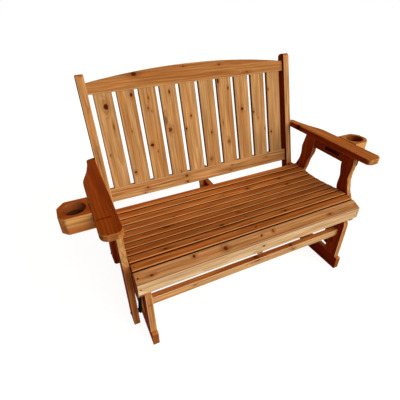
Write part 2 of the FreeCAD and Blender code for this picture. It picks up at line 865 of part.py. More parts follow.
def build_bench():
    """Everything that swings, apart from the cup holders."""
    slats, screws, slat_holes = seat_slats()
    frame_sets = [screw_set(point, direction) for point, direction in bench_screw_places()]
    frame_holes = Part.makeCompound([hole for screw, hole in frame_sets])
    screws += [item for screw, hole in frame_sets for item in (screw, mirrored(screw))]
    inwards = FreeCAD.Vector(-1, 0, 0)
    post_sets = [screw_set(point, inwards, post_screw_length) for point in post_screw_places()]
    for screw, hole in post_sets:
        screws += [leaned(screw.copy()), leaned(mirrored(screw))]
    post_holes = Part.makeCompound([leaned(hole.copy()) for screw, hole in post_sets])
    lower_holes = bolt_holes(leg_inner_x, leg_outer_x, lower_pivot_places())
    pieces = {}
    for name, shape in (("front_leg", front_leg()), ("rear_leg", rear_leg())):
        pieces.update(pair(name, shape.cut(frame_holes).cut(lower_holes)))
    pieces["apron_right"] = apron("right").cut(frame_holes)
    pieces["apron_left"] = mirrored(apron("left").cut(frame_holes))
    pieces.update(pair("corbel", corbel()))
    pieces.update(pair("arm", arm().cut(frame_holes)))
    both_frame_holes = [frame_holes, mirrored(frame_holes)]
    pieces.update(seat_ribs(slat_holes + both_frame_holes))
    back = back_frame()
    both_post_holes = Part.makeCompound([post_holes, mirrored(post_holes)])
    for name in ("back_post_right", "back_post_left", "bottom_rail", "top_rail"):
        back[name] = back[name].cut(both_post_holes)
    pieces.update(back)
    pieces["centre_brace"] = centre_brace()
    pieces.update(slats)
    pieces["bench_screws"] = Part.makeCompound(screws)
    return pieces


def build_links():
    """Four links; the rear ones have open lower eyes."""
    pieces = {}
    for side in ("left", "right"):
        for end in ("front", "rear"):
            front = end == "front"
            pieces[f"link_{end}_{side}"] = link(front, side == "left", not front)
    return pieces


def weight_centre(pieces):
    """Centre of volume of a set of pieces."""
    total = sum(piece.Volume for piece in pieces)
    centre = FreeCAD.Vector(0, 0, 0)
    for piece in pieces:
        for solid in piece.Solids:
            centre += solid.CenterOfMass * (solid.Volume / total)
    return centre


def main():
    """Build every piece, move it to the origin and write its file."""
    os.makedirs("parts", exist_ok=True)
    stand = build_stand()
    bench = build_bench()
    bench_and_cups = dict(bench)
    for side in ("left", "right"):
        upper, lower = cup_holder(side)
        bench_and_cups["cup_board_upper_" + side] = upper
        bench_and_cups["cup_board_lower_" + side] = lower
    print("swinging centre of volume", weight_centre(bench_and_cups.values()))
    pieces = dict(stand)
    pieces.update(bench_and_cups)
    pieces.update(build_links())
    pieces["upper_pivot_bolts"], pieces["lower_pivot_bolts"] = pivots()
    whole = Part.makeCompound(list(pieces.values())).optimalBoundingBox(False, False)
    shift = FreeCAD.Vector(0, -whole.Center.y, 0)
    print("moved by", shift, "whole box", whole)
    for y, z in upper_pivot_places() + lower_pivot_places():
        print("pivot", round(y + shift.y, 4), round(z, 4))
    for name, piece in pieces.items():
        piece.translate(shift)
        piece.exportStep(f"parts/{name}.step")
    print("nodes", len(pieces))


main()
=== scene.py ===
"""A cedar glider bench on its stand: finishes, turned screws, studio and camera.

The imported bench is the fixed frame, in metres: X runs along the seat, Y from front to
back and Z up. Every board keeps its shape and gets a cedar finish of its own, and the
screw sets are turned again with their drive recesses.
"""

import logging
import math
from dataclasses import dataclass, field
from enum import Enum
from typing import Any

import bpy
import numpy as np
from mathutils import Matrix, Vector


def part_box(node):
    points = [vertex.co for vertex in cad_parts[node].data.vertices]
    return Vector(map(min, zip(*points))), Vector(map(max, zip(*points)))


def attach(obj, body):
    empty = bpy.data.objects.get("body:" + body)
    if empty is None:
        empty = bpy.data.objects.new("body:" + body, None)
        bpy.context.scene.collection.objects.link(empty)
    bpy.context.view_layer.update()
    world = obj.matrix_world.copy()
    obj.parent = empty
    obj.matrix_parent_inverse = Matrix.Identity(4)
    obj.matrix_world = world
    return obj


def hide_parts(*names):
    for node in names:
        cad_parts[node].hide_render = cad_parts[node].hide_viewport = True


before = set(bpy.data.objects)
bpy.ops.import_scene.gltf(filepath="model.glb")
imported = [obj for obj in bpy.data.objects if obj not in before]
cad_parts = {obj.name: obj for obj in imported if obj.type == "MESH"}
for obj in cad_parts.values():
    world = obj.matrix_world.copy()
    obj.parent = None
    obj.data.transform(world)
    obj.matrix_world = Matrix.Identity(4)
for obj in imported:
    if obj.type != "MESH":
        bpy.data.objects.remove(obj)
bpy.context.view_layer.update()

LOG = logging.getLogger("glider_bench")
MM = 0.001
RECLINE = math.radians(15.7)

Tree = bpy.types.NodeTree
Socket = bpy.types.NodeSocket
Layer = tuple[Socket, str, str]

# The curve of a soft edge, as a setting of a Map Range node
SMOOTH = {"interpolation_type": "SMOOTHSTEP"}

# Colours that all the boards share, as sRGB hex
KNOT_HALO = "#96521F"
KNOT_CORE = "#84441A"
KNOT_BARK = "#5E2C10"
KNOT_DEAD = "#4E200C"
# Painted shade in the gaps between boards
GAP_SHADE_PAINT = "#702C0E"
END_GRAIN = "#6A3210"
# Painted shade in the screw holes
HOLE_SHADE_PAINT = "#35150A"
# Painted shade on the tongue inside the apron's slot
TONGUE_SLOT_SHADE = "#8F4B35"
# Painted shadow beside the arm's edge
ARM_EDGE_SHADOW = "#3A1A10"


def linear(hex_colour: str) -> tuple[float, float, float, float]:
    """Turn an sRGB hex colour into the linear numbers that shaders take.

    Args:
        hex_colour: Colour as #RRGGBB.

    Returns:
        Linear red, green and blue, and an alpha of 1.
    """
    shown = [int(hex_colour[i:i + 2], 16) / 255 for i in (1, 3, 5)]
    red, green, blue = (
        value / 12.92 if value <= 0.04045 else ((value + 0.055) / 1.055) ** 2.4
        for value in shown
    )
    return red, green, blue, 1.0


def add(tree: Tree, kind: str, inputs: dict[Any, Any] | list[Any] | None = None,
        **settings: Any) -> Any:
    """Add one node with its settings, and fill or link its inputs.

    Args:
        tree: The node tree that gets the node.
        kind: The node's Blender type name after "ShaderNode".
        inputs: Sockets to link or values to set, in the node's order, or each under its name
            or number.
        settings: The node's own properties.

    Returns:
        The node's outputs.
    """
    node = tree.nodes.new(f"ShaderNode{kind}")
    for name, value in settings.items():
        setattr(node, name, value)
    named = inputs if isinstance(inputs, dict) else dict(enumerate(inputs or []))
    for name, value in named.items():
        if isinstance(value, Socket):
            tree.links.new(value, node.inputs[name])
        else:
            node.inputs[name].default_value = value
    return node.outputs


def empty_tree(owner: bpy.types.Material | bpy.types.World) -> Tree:
    """Switch a material or world to nodes and empty its tree.

    Args:
        owner: The material or world.

    Returns:
        The tree.
    """
    owner.use_nodes = True
    owner.node_tree.nodes.clear()
    return owner.node_tree


def read(items: Any, name: str, width: int = 1, kind: type = float) -> np.ndarray:
    """Read one property of a mesh's vertices or faces.

    Args:
        items: The vertices or faces.
        name: The property's name.
        width: How many numbers it has.
        kind: Their type.

    Returns:
        An array with a row for each vertex or face.
    """
    values = np.zeros(len(items) * width, kind)
    items.foreach_get(name, values)
    return values.reshape(-1, width)


def link_new(name: str, data: bpy.types.ID) -> bpy.types.Object:
    """Make an object and link it to the scene.

    Args:
        name: The object's name.
        data: Its mesh, lamp or camera.

    Returns:
        The object.
    """
    made = bpy.data.objects.new(name, data)
    bpy.context.scene.collection.objects.link(made)
    return made


class Run(Enum):
    """Which way a board's length, and with it the grain, lies on the bench."""

    ACROSS = (1.0, 0.0, 0.0)
    DEEP = (0.0, 1.0, 0.0)
    UP = (0.0, 0.0, 1.0)
    RECLINED = (0.0, math.sin(RECLINE), math.cos(RECLINE))


class Cut(Enum):
    """How a board was sawn: the pith's place across and below its middle, in mm, and its lean.

    The lean is how far the pith drifts for each unit of length, across and in depth. It draws
    the long arches of a flat-sawn face.
    """

    FLAT = (12.0, 48.0, 0.012, 0.034)
    RIFT = (66.0, 62.0, 0.006, 0.012)
    QUARTER = (120.0, 16.0, 0.004, 0.004)


@dataclass(frozen=True)
class Knot:
    """A knot: its place from the board's middle and its radius, in mm.

    Attributes:
        along: Distance along the board.
        across: Distance across the board.
        radius: Radius of the knot's core across the board.
        stretch: Its length divided by its width.
        dark: 0 for a knot grown into the wood, 1 for a dead black one.
    """

    along: float
    across: float
    radius: float
    stretch: float = 1.2
    dark: float = 0.6


@dataclass(frozen=True)
class Tone:
    """The colours of one lot of stained cedar, as sRGB hex.

    Attributes:
        early: Pale wood between the ring lines.
        late: The ring lines.
        heart: Redder bands of heartwood.
        wear_and_highlight: Rounded arrises that look to the front, where the stain is rubbed thin
            and a highlight is painted.
    """

    early: str
    late: str
    heart: str
    wear_and_highlight: str


@dataclass(frozen=True)
class FacingStainAndShade:
    """The brown oil stain on one lot of boards, with painted shade set by the way a face looks, as
    sRGB hex laid over the wood by multiplying. Fronts stay lightest, as lit; the darker, redder
    tops and sides are partly stain and partly painted shade.

    Attributes:
        front: On faces that look to the front, which stay lightest, as lit.
        top: On faces that look up, partly stain and partly painted shade.
        left: On faces that look left, darkened most, as painted shade.
        right: On faces that look right, a little darkened, as painted shade.
    """

    front: str = "#FFFFFF"
    top: str = "#FFCDA0"
    left: str = "#DE956F"
    right: str = "#F2CBA8"


@dataclass(frozen=True)
class Well:
    """A cup well and the tongue beside it, where the board is darker than elsewhere.

    Attributes:
        x: Its axis along the seat, in metres.
        y: Its axis from front to back, in metres.
        radius: Its radius in mm.
        colour: The colour laid over the wood on its wall and floor; near-black painted shade in the
            lower board.
        slot_x: Distance from the bench's middle, in metres, inside which the board is a
            tongue in its slot, painted darker as the slot's shade.
        arm_x: Distance from the bench's middle, in metres, of the painted shadow line by the arm.
    """

    x: float
    y: float
    radius: float
    colour: str
    slot_x: float
    arm_x: float


@dataclass(frozen=True)
class Board:
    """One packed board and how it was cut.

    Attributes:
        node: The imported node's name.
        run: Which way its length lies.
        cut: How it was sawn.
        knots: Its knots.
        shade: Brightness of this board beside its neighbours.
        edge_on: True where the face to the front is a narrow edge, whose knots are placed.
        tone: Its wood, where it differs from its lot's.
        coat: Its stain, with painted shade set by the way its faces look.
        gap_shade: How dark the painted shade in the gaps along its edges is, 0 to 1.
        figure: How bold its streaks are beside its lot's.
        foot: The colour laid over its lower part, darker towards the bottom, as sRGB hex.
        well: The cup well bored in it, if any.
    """

    node: str
    run: Run
    cut: Cut = Cut.RIFT
    knots: tuple[Knot, ...] = ()
    shade: float = 1.0
    edge_on: bool = False
    tone: Tone | None = None
    coat: FacingStainAndShade = FacingStainAndShade()
    gap_shade: float = 0.0
    figure: float = 1.0
    foot: str | None = None
    well: Well | None = None


class BoardFrame:
    """A board's own axes: length, width and thickness, with its middle and half sizes."""

    def __init__(self, board: Board) -> None:
        """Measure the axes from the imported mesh.

        The thickness axis is the direction that most of the board's surface faces, and the
        length axis is the run made square to it.

        Args:
            board: The board.
        """
        node, run = board.node, board.run
        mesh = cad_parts[node].data
        points = read(mesh.vertices, "co", 3)
        along = np.array(run.value)
        facing = self.main_facing(read(mesh.polygons, "normal", 3),
                                  read(mesh.polygons, "area").ravel(), along)
        length = along - facing * (along @ facing)
        length /= np.linalg.norm(length)
        across = facing if board.edge_on else np.cross(facing, length)
        across = across * (1.0 if across.sum() > 0 else -1.0)
        self.axes = np.array([length, across, np.cross(length, across)])
        places = points @ self.axes.T
        self.middle = (places.min(0) + places.max(0)) / 2
        self.half = (places.max(0) - places.min(0)) / 2

    @staticmethod
    def main_facing(normals: np.ndarray, areas: np.ndarray, along: np.ndarray) -> np.ndarray:
        """Find the direction square to the run that most of the surface faces.

        Args:
            normals: One unit normal for each face.
            areas: The area of each face.
            along: The board's run.

        Returns:
            The unit direction.
        """
        side = np.abs(normals @ along) < 0.5
        rounded = np.round(normals, 2)
        groups, member = np.unique(rounded, axis=0, return_inverse=True)
        weight = np.bincount(member.ravel(), weights=areas * side, minlength=len(groups))
        chosen = member.ravel() == weight.argmax()
        total = (normals[chosen] * areas[chosen, None]).sum(0)
        return total / np.linalg.norm(total)

    def mapping(self) -> tuple[tuple[float, ...], tuple[float, ...]]:
        """Give the location and rotation that take object coordinates to the board's own."""
        turn = Matrix(self.axes.tolist()).to_euler("XYZ")
        return tuple(-self.middle), tuple(turn)


def knot_group() -> Tree:
    """Build the shared group that draws one knot in a board's own coordinates.

    The distance from the knot's axis, shortened along the board by its stretch and made
    uneven by noise, gives the core, the bark ring round it, the stained halo, and the push
    that bends the ring lines round it.

    Returns:
        The group.
    """
    tree = bpy.data.node_groups.new("cedar_knot", "ShaderNodeTree")
    for name, kind in (("Place", "NodeSocketVector"), ("Centre", "NodeSocketVector"),
                       ("Radius", "NodeSocketFloat"), ("Stretch", "NodeSocketFloat")):
        tree.interface.new_socket(name, in_out="INPUT", socket_type=kind)
    for name in ("Core", "Rim", "Halo"):
        tree.interface.new_socket(name, in_out="OUTPUT", socket_type="NodeSocketFloat")
    given = tree.nodes.new("NodeGroupInput").outputs
    wobble = add(tree, "TexNoise", {"Vector": given["Place"], "Scale": 140.0,
                                    "Detail": 2.0})["Fac"]
    away = add(tree, "VectorMath", [given["Place"], given["Centre"]], operation="SUBTRACT")[0]
    shorter = add(tree, "Math", [1.0, given["Stretch"]], operation="DIVIDE")[0]
    squeeze = add(tree, "CombineXYZ", [shorter, 1.0, 0.25])[0]
    near = add(tree, "VectorMath", [away, squeeze], operation="MULTIPLY")[0]
    straight = add(tree, "VectorMath", [near], operation="LENGTH")["Value"]
    uneven = add(tree, "Math", [wobble, 0.9, 0.55], operation="MULTIPLY_ADD")[0]
    distance = add(tree, "Math", [straight, uneven], operation="MULTIPLY")[0]
    share = add(tree, "Math", [distance, given["Radius"]], operation="DIVIDE")[0]
    core = add(tree, "MapRange", [share, 0.75, 1.15, 1.0, 0.0], **SMOOTH)[0]
    past = add(tree, "Math", [share, 1.0], operation="SUBTRACT")[0]
    off_rim = add(tree, "Math", [past], operation="ABSOLUTE")[0]
    rim = add(tree, "MapRange", [off_rim, 0.05, 0.4, 1.0, 0.0], **SMOOTH)[0]
    drawn = add(tree, "VectorMath", [near, (0.55, 1.0, 1.0)], operation="MULTIPLY")[0]
    trail = add(tree, "VectorMath", [drawn], operation="LENGTH")["Value"]
    spread = add(tree, "Math", [trail, given["Radius"]], operation="DIVIDE")[0]
    halo = add(tree, "MapRange", [spread, 0.6, 3.2, 1.0, 0.0],
               interpolation_type="SMOOTHERSTEP")[0]
    taken = tree.nodes.new("NodeGroupOutput").inputs
    for name, mask in (("Core", core), ("Rim", rim), ("Halo", halo)):
        tree.links.new(mask, taken[name])
    return tree


@dataclass(frozen=True)
class StainedCedar:
    """Sawn western cedar, planed, eased and wiped with one coat of brown oil stain.

    The eye sees honey wood with redder ring lines that arch on flat-sawn faces, dark knots
    with the grain bent round them, a satin surface with a little raised grain, darker end
    grain, and a stain that changes with the way a face looks. Painted shade darkens the tops,
    the sides, the gaps between boards and the screw holes, and a painted highlight lies on the
    front arrises.

    Attributes:
        name: The start of each material's name.
        tone: The lot's wood.
        ring_spacing: Ring spacing in mm; the real 2 to 3 mm is drawn coarser so it shows.
        fibre_width: Width of the fine streaks in mm; real fibres are far finer.
        ring_depth: How strongly the ring lines are coloured.
        contrast: How far the streaks go from the board's middle brightness.
        wear_and_highlight_start: How far in from an arris the worn stain and painted highlight
            start, in mm.
        wear_and_highlight_full: How far in from an arris the worn stain and painted highlight are
            full, in mm.
        gap_shade_reach: How far the painted shade of the gaps reaches in from a board's edges, in
            mm.
        gap_shade_behind: How far the painted shade of the gaps reaches in from a board's rear edge,
            in mm.
        end_reach: How far the darker end grain shows in from a board's ends, in mm.
        foot_reach: Where the darkening of a board's lower part starts and is full, in mm above the
            board's middle.
        hole_reach: How near the walls of a screw hole are to each other for its painted shade, in
            mm.
    """

    name: str
    tone: Tone
    ring_spacing: float = 11.0
    fibre_width: float = 4.5
    ring_depth: float = 0.7
    contrast: float = 0.2
    wear_and_highlight_start: float = 5.5
    wear_and_highlight_full: float = 1.8
    gap_shade_reach: float = 1.6
    gap_shade_behind: float = 3.4
    end_reach: float = 0.6
    foot_reach: tuple[float, float] = (125.0, 65.0)
    hole_reach: float = 7.0


class BoardPaint:
    """One board's material: bare wood, then layers of colour laid over it in turn.

    A layer is the share of its colour that shows, the colour and how the two mix.
    """

    def __init__(self, cedar: StainedCedar, board: Board, knots: Tree) -> None:
        """Start the material with the board's coordinates, knots, rings and grain.

        Args:
            cedar: The finish.
            board: The board to dress.
            knots: The shared knot group.
        """
        self.cedar, self.board = cedar, board
        self.tone = board.tone or cedar.tone
        self.chance = np.random.default_rng(
            sum(ord(c) * (i + 3) for i, c in enumerate(board.node)))
        self.material = bpy.data.materials.new(f"{cedar.name}_{board.node}")
        self.tree = empty_tree(self.material)
        where = add(self.tree, "TexCoord")
        self.spot = where["Object"]
        self.facing = add(self.tree, "SeparateXYZ", [where["Normal"]])
        self.lie = BoardFrame(board)
        self.place = add(self.tree, "Mapping", [self.spot, *self.lie.mapping()])[0]
        start = self.chance.uniform(-9.0, 9.0, 3)
        self.masks = self.knot_masks(knots)
        self.rings = self.growth_rings(start)
        fine = 0.5 / (cedar.fibre_width * MM)
        self.fibre = self.grain(start, (5.0, fine, fine), 3.0, 0.6)
        self.streak = self.grain(start[::-1], (1.6, 34.0, 34.0), 2.0)

    def finish(self) -> bpy.types.Material:
        """Lay every layer over the bare wood and finish the surface.

        Returns:
            The finished material.
        """
        colour = self.bare_wood()
        for share, paint, blend in (*self.knot_layers(), *self.stain_and_facing_shade_layers(),
                                    *self.wear_and_painted_light_layers(), *self.foot_layers(),
                                    *self.well_layers(), *self.hole_shade_layers()):
            colour = add(self.tree, "Mix", {0: share, 6: colour, 7: linear(paint)},
                         data_type="RGBA", blend_type=blend)[2]
        self.surface(colour)
        return self.material

    def grain(self, start: np.ndarray, scale: tuple[float, ...], detail: float,
              roughness: float = 0.5) -> Socket:
        """Give noise in board coordinates, drawn out along the board by its scale."""
        drawn = add(self.tree, "Mapping", {"Vector": self.place, "Location": tuple(start),
                                           "Scale": scale})[0]
        return add(self.tree, "TexNoise", {"Vector": drawn, "Scale": 1.0, "Detail": detail,
                                           "Roughness": roughness})["Fac"]

    def knot_masks(self, group: Tree) -> dict[str, Socket]:
        """Join the masks of all the board's knots.

        Args:
            group: The shared knot group.

        Returns:
            The strongest core, rim, halo and dead black core at each point, or nothing where
            the board is clear.
        """
        tree = self.tree
        found: dict[str, Socket] = {}
        for knot in self.board.knots:
            one = add(tree, "Group", {
                "Place": self.place, "Centre": (knot.along * MM, knot.across * MM, 0.0),
                "Radius": knot.radius * MM, "Stretch": knot.stretch}, node_tree=group)
            shown = 0.4 + 0.6 * knot.dark
            for name, mask, share in (("core", "Core", shown), ("rim", "Rim", shown),
                                      ("halo", "Halo", 1.0), ("dead", "Core", knot.dark)):
                socket = add(tree, "Math", [one[mask], share], operation="MULTIPLY")[0]
                if name in found:
                    socket = add(tree, "Math", [found[name], socket], operation="MAXIMUM")[0]
                found[name] = socket
        return found

    def growth_rings(self, start: np.ndarray) -> Socket:
        """Draw growth rings as a saw-tooth of the distance from the pith.

        The distance is taken square to the pith's line, which leans through the board, and
        wanders with slow noise. Knots push it up, so the lines close round them.

        Args:
            start: This board's place in the noise.

        Returns:
            0 in early wood, rising to 1 at each late-wood line.
        """
        tree, chance, spacing = self.tree, self.chance, self.cedar.ring_spacing * MM
        across, below, drift, sink = self.board.cut.value
        side, under = chance.choice([-1.0, 1.0], 2)
        slow = self.grain(start * 0.7, (2.4, 8.0, 8.0), 2.0)
        pith = (0.0, side * across * MM, under * below * MM)
        lean = (0.0, under * sink * chance.uniform(0.6, 1.3),
                side * drift * chance.uniform(0.6, 1.3))
        from_pith = add(tree, "Mapping", [self.place, pith, lean])[0]
        square = add(tree, "VectorMath", [from_pith, (0.0, 1.0, 1.0)], operation="MULTIPLY")[0]
        radius = add(tree, "VectorMath", [square], operation="LENGTH")["Value"]
        radius = add(tree, "Math", [slow, 0.030, radius], operation="MULTIPLY_ADD")[0]
        if self.masks:
            radius = add(tree, "Math", [self.masks["halo"], 1.6 * spacing, radius],
                         operation="MULTIPLY_ADD")[0]
        ring = add(tree, "Math", [radius, 1.0 / spacing], operation="MULTIPLY")[0]
        tooth = add(tree, "Math", [ring], operation="FRACT")[0]
        rise = add(tree, "Math", [tooth, 2.4], operation="POWER")[0]
        fall = add(tree, "MapRange", [tooth, 0.9, 1.0, 1.0, 0.0], **SMOOTH)[0]
        return add(tree, "Math", [rise, fall], operation="MULTIPLY")[0]

    def bare_wood(self) -> Socket:
        """Colour the clear wood before its stain: heartwood, rings, then fibres.

        Returns:
            The colour.
        """
        tree, tone, shade = self.tree, self.tone, self.board.shade
        heart = add(tree, "MapRange", [self.streak, 0.40, 0.66], **SMOOTH)[0]
        line = add(tree, "Math", [self.rings, self.cedar.ring_depth], operation="MULTIPLY")[0]
        colour: Any = linear(tone.early)
        for share, paint in ((heart, tone.heart), (line, tone.late)):
            colour = add(tree, "Mix", {0: share, 6: colour, 7: linear(paint)},
                         data_type="RGBA")[2]
        swing = self.cedar.contrast * self.board.figure
        gain = add(tree, "MapRange", [self.fibre, 0.3, 0.7, shade * (1 + swing),
                                      shade * (1 - swing)])[0]
        return add(tree, "VectorMath", {0: colour, "Scale": gain}, operation="SCALE")[0]

    def knot_layers(self) -> list[Layer]:
        """Colour the wood round the knots, their cores, their bark and the dead ones.

        Returns:
            The layers, or none for a clear board.
        """
        if not self.masks:
            return []
        around = add(self.tree, "Math", [self.masks["halo"], 0.5], operation="MULTIPLY")[0]
        return [(around, KNOT_HALO, "MIX"), (self.masks["core"], KNOT_CORE, "MIX"),
                (self.masks["rim"], KNOT_BARK, "MIX"), (self.masks["dead"], KNOT_DEAD, "MIX")]

    def stain_and_facing_shade_layers(self) -> list[Layer]:
        """Stain the faces, with painted shade, by the way they look, blended over the rounded
        arrises.

        Returns:
            The layers.
        """
        # Fronts stay lightest, as lit; tops and sides are multiplied darker, partly stain and
        # partly painted shade.
        coat = self.board.coat
        sides = (("Z", 0.45, 0.9, coat.top), ("X", -0.5, -0.95, coat.left),
                 ("X", 0.5, 0.95, coat.right), ("Y", -0.5, -0.9, coat.front))
        return [(add(self.tree, "MapRange", [self.facing[axis], start, full], **SMOOTH)[0],
                 paint, "MULTIPLY") for axis, start, full, paint in sides]

    def wear_and_painted_light_layers(self) -> list[Layer]:
        """Paint a worn highlight on the front arrises, paint shade in the gaps and darken the ends.

        Returns:
            The layers.
        """
        tree, cedar, gap_shade = self.tree, self.cedar, self.board.gap_shade
        # Only arrises that look to the front, towards the lamp, get the painted highlight.
        forward = add(tree, "MapRange", [self.facing["Y"], -0.1, -0.5], **SMOOTH)[0]
        inside = add(tree, "VectorMath", [self.place], operation="ABSOLUTE")[0]
        past = add(tree, "VectorMath", [inside, tuple(self.lie.half)], operation="SUBTRACT")[0]
        edges = add(tree, "SeparateXYZ", [past])
        arris = add(tree, "Math", [edges["Y"], edges["Z"]], operation="MINIMUM")[0]
        thin = add(tree, "MapRange", [arris, -cedar.wear_and_highlight_start * MM, -cedar.wear_and_highlight_full * MM,
                                      0.0, 1.6], **SMOOTH)[0]
        rubbed = add(tree, "Math", [thin, forward], operation="MULTIPLY")[0]
        patchy = add(tree, "Math", [rubbed, self.streak], operation="MULTIPLY",
                     use_clamp=True)[0]
        # The worn stain and painted highlight on the front arrises.
        layers = [(patchy, self.tone.wear_and_highlight, "MIX")]
        if gap_shade > 0:
            # Painted shade along the board's edges and its rear edge, where the gaps between boards
            # are dark.
            reach, behind = cedar.gap_shade_reach * MM, cedar.gap_shade_behind * MM
            across, rear = add(tree, "SeparateXYZ", [self.place])["Y"], self.lie.half[1]
            low = add(tree, "MapRange", [edges["Y"], -reach, -0.3 * reach, 0.0, gap_shade],
                      **SMOOTH)[0]
            back = add(tree, "MapRange", [across, rear - behind, rear - 0.5 * behind, 0.0,
                                          gap_shade], **SMOOTH)[0]
            either = add(tree, "Math", [low, back], operation="MAXIMUM")[0]
            layers.append((either, GAP_SHADE_PAINT, "MULTIPLY"))
        end = add(tree, "MapRange", [edges["X"], -cedar.end_reach * MM, 0.0, 0.0, 0.5])[0]
        return [*layers, (end, END_GRAIN, "MIX")]

    def foot_layers(self) -> list[Layer]:
        """Darken the lower part of a board towards its bottom.

        Returns:
            The layer, or none for a board without a foot colour.
        """
        if self.board.foot is None:
            return []
        height = add(self.tree, "SeparateXYZ", [self.place])["X"]
        start, full = self.cedar.foot_reach
        low = add(self.tree, "MapRange", [height, start * MM, full * MM], **SMOOTH)[0]
        return [(low, self.board.foot, "MULTIPLY")]

    def well_layers(self) -> list[Layer]:
        """Colour a cup well, found by its distance from the axis, and paint shade on the tongue.

        A painted shadow line also lies on top of the board, along the edge of the arm over it.

        Returns:
            The layers, or none for a board without a well.
        """
        tree, well = self.tree, self.board.well
        if well is None:
            return []
        flat = add(tree, "Mapping", {"Vector": self.spot, "Location": (-well.x, -well.y, 0.0),
                                     "Scale": (1.0, 1.0, 0.0)})[0]
        from_axis = add(tree, "VectorMath", [flat], operation="LENGTH")["Value"]
        # The well's wall takes its own colour; in the lower board it is near-black painted shade.
        wall = add(tree, "MapRange", [from_axis, (well.radius + 0.3) * MM,
                                      (well.radius + 1.5) * MM, 0.85, 0.0])[0]
        along = add(tree, "SeparateXYZ", [self.spot])["X"]
        side = add(tree, "Math", [along], operation="ABSOLUTE")[0]
        # The tongue inside the apron's slot is painted darker, as the slot's shade.
        tongue = add(tree, "Math", [side, well.slot_x], operation="LESS_THAN")[0]
        # A painted shadow line on the board's top, beside the arm's edge.
        beside = add(tree, "Math", [side, well.arm_x], operation="LESS_THAN")[0]
        up = add(tree, "Math", [self.facing["Z"], 0.7], operation="GREATER_THAN")[0]
        line = add(tree, "Math", [beside, up], operation="MULTIPLY")[0]
        return [(wall, well.colour, "MIX"), (tongue, TONGUE_SLOT_SHADE, "MULTIPLY"),
                (line, ARM_EDGE_SHADOW, "MULTIPLY")]

    def hole_shade_layers(self) -> list[Layer]:
        """Paint shade in the board's screw holes, where its surface is closed in.

        Returns:
            The layer.
        """
        open_share = add(self.tree, "AmbientOcclusion",
                         {"Distance": self.cedar.hole_reach * MM}, samples=4,
                         only_local=True)["AO"]
        closed = add(self.tree, "MapRange", [open_share, 0.35, 0.7, 0.9, 0.0], **SMOOTH)[0]
        return [(closed, HOLE_SHADE_PAINT, "MIX")]

    def surface(self, colour: Socket) -> None:
        """Finish the surface: satin oil over slightly raised grain, cracked round knots.

        Args:
            colour: The finished colour.
        """
        tree = self.tree
        height = add(tree, "Math", [self.rings, 0.5, self.fibre], operation="MULTIPLY_ADD")[0]
        if self.masks:
            height = add(tree, "Math", [self.masks["rim"], -1.2, height],
                         operation="MULTIPLY_ADD")[0]
        raised = add(tree, "Bump", {"Height": height, "Strength": 0.35,
                                    "Distance": 0.6 * MM})[0]
        sheen = add(tree, "MapRange", [self.fibre, 0.2, 0.8, 0.82, 0.68])[0]
        shader = add(tree, "BsdfPrincipled", {
            "Base Color": colour, "Normal": raised, "Roughness": sheen, "IOR": 1.45,
            "Specular IOR Level": 0.03})[0]
        add(tree, "OutputMaterial", {"Surface": shader})


@dataclass(frozen=True)
class Metal:
    """A hardware finish with its own texture.

    Attributes:
        name: The material's name.
        colour: The coating's colour.
        patch: The colour where it is rubbed or dusty.
        metallic: 1 for bare or plated metal, 0 for paint or powder.
        roughness: The surface's middle roughness.
        grain: Size of the texture's grains in mm.
        relief: Height of the texture in mm.
        specular: How strongly the coating mirrors its surroundings.
    """

    name: str
    colour: str
    patch: str
    metallic: float
    roughness: float
    grain: float
    relief: float
    specular: float = 0.5

    def material(self) -> bpy.types.Material:
        """Build the finish: fine grain in its relief, slow patches in colour and gloss.

        Returns:
            The material.
        """
        material = bpy.data.materials.new(self.name)
        tree = empty_tree(material)
        where = add(tree, "TexCoord")["Object"]
        grain = add(tree, "TexNoise", {"Vector": where, "Scale": 1.0 / (self.grain * MM),
                                       "Detail": 2.0})["Fac"]
        patch = add(tree, "TexNoise", {"Vector": where, "Scale": 24.0, "Detail": 4.0,
                                       "Roughness": 0.65})["Fac"]
        rubbed = add(tree, "MapRange", [patch, 0.48, 0.72, 0.0, 0.6], **SMOOTH)[0]
        colour = add(tree, "Mix", {0: rubbed, 6: linear(self.colour), 7: linear(self.patch)},
                     data_type="RGBA")[2]
        sheen = add(tree, "MapRange", [patch, 0.3, 0.7, self.roughness - 0.08,
                                       self.roughness + 0.12])[0]
        relief = add(tree, "Bump", {"Height": grain, "Strength": 0.5,
                                    "Distance": self.relief * MM})[0]
        shader = add(tree, "BsdfPrincipled", {
            "Base Color": colour, "Metallic": self.metallic, "Normal": relief,
            "Roughness": sheen, "Specular IOR Level": self.specular})[0]
        add(tree, "OutputMaterial", {"Surface": shader})
        return material


# Powder coat over flat bar: black, even, with a fine orange-peel texture that dulls it.
BLACK_POWDER_COAT = Metal("link_steel", "#0A0808", "#120F0E", 0.0, 0.8, 1.1, 0.05, 0.03)
# Zinc plate passivated black: dark grey metal, with paler rubbed spots on corners.
BLACK_ZINC = Metal("bolt_steel", "#1C1A1A", "#34312E", 1.0, 0.5, 0.8, 0.03)
# Baked brown coating on the screws: dull brown, close to the stain.
BROWN_SCREW_COAT = Metal("screw_steel", "#2E160A", "#4A2814", 0.0, 0.6, 0.7, 0.03, 0.1)

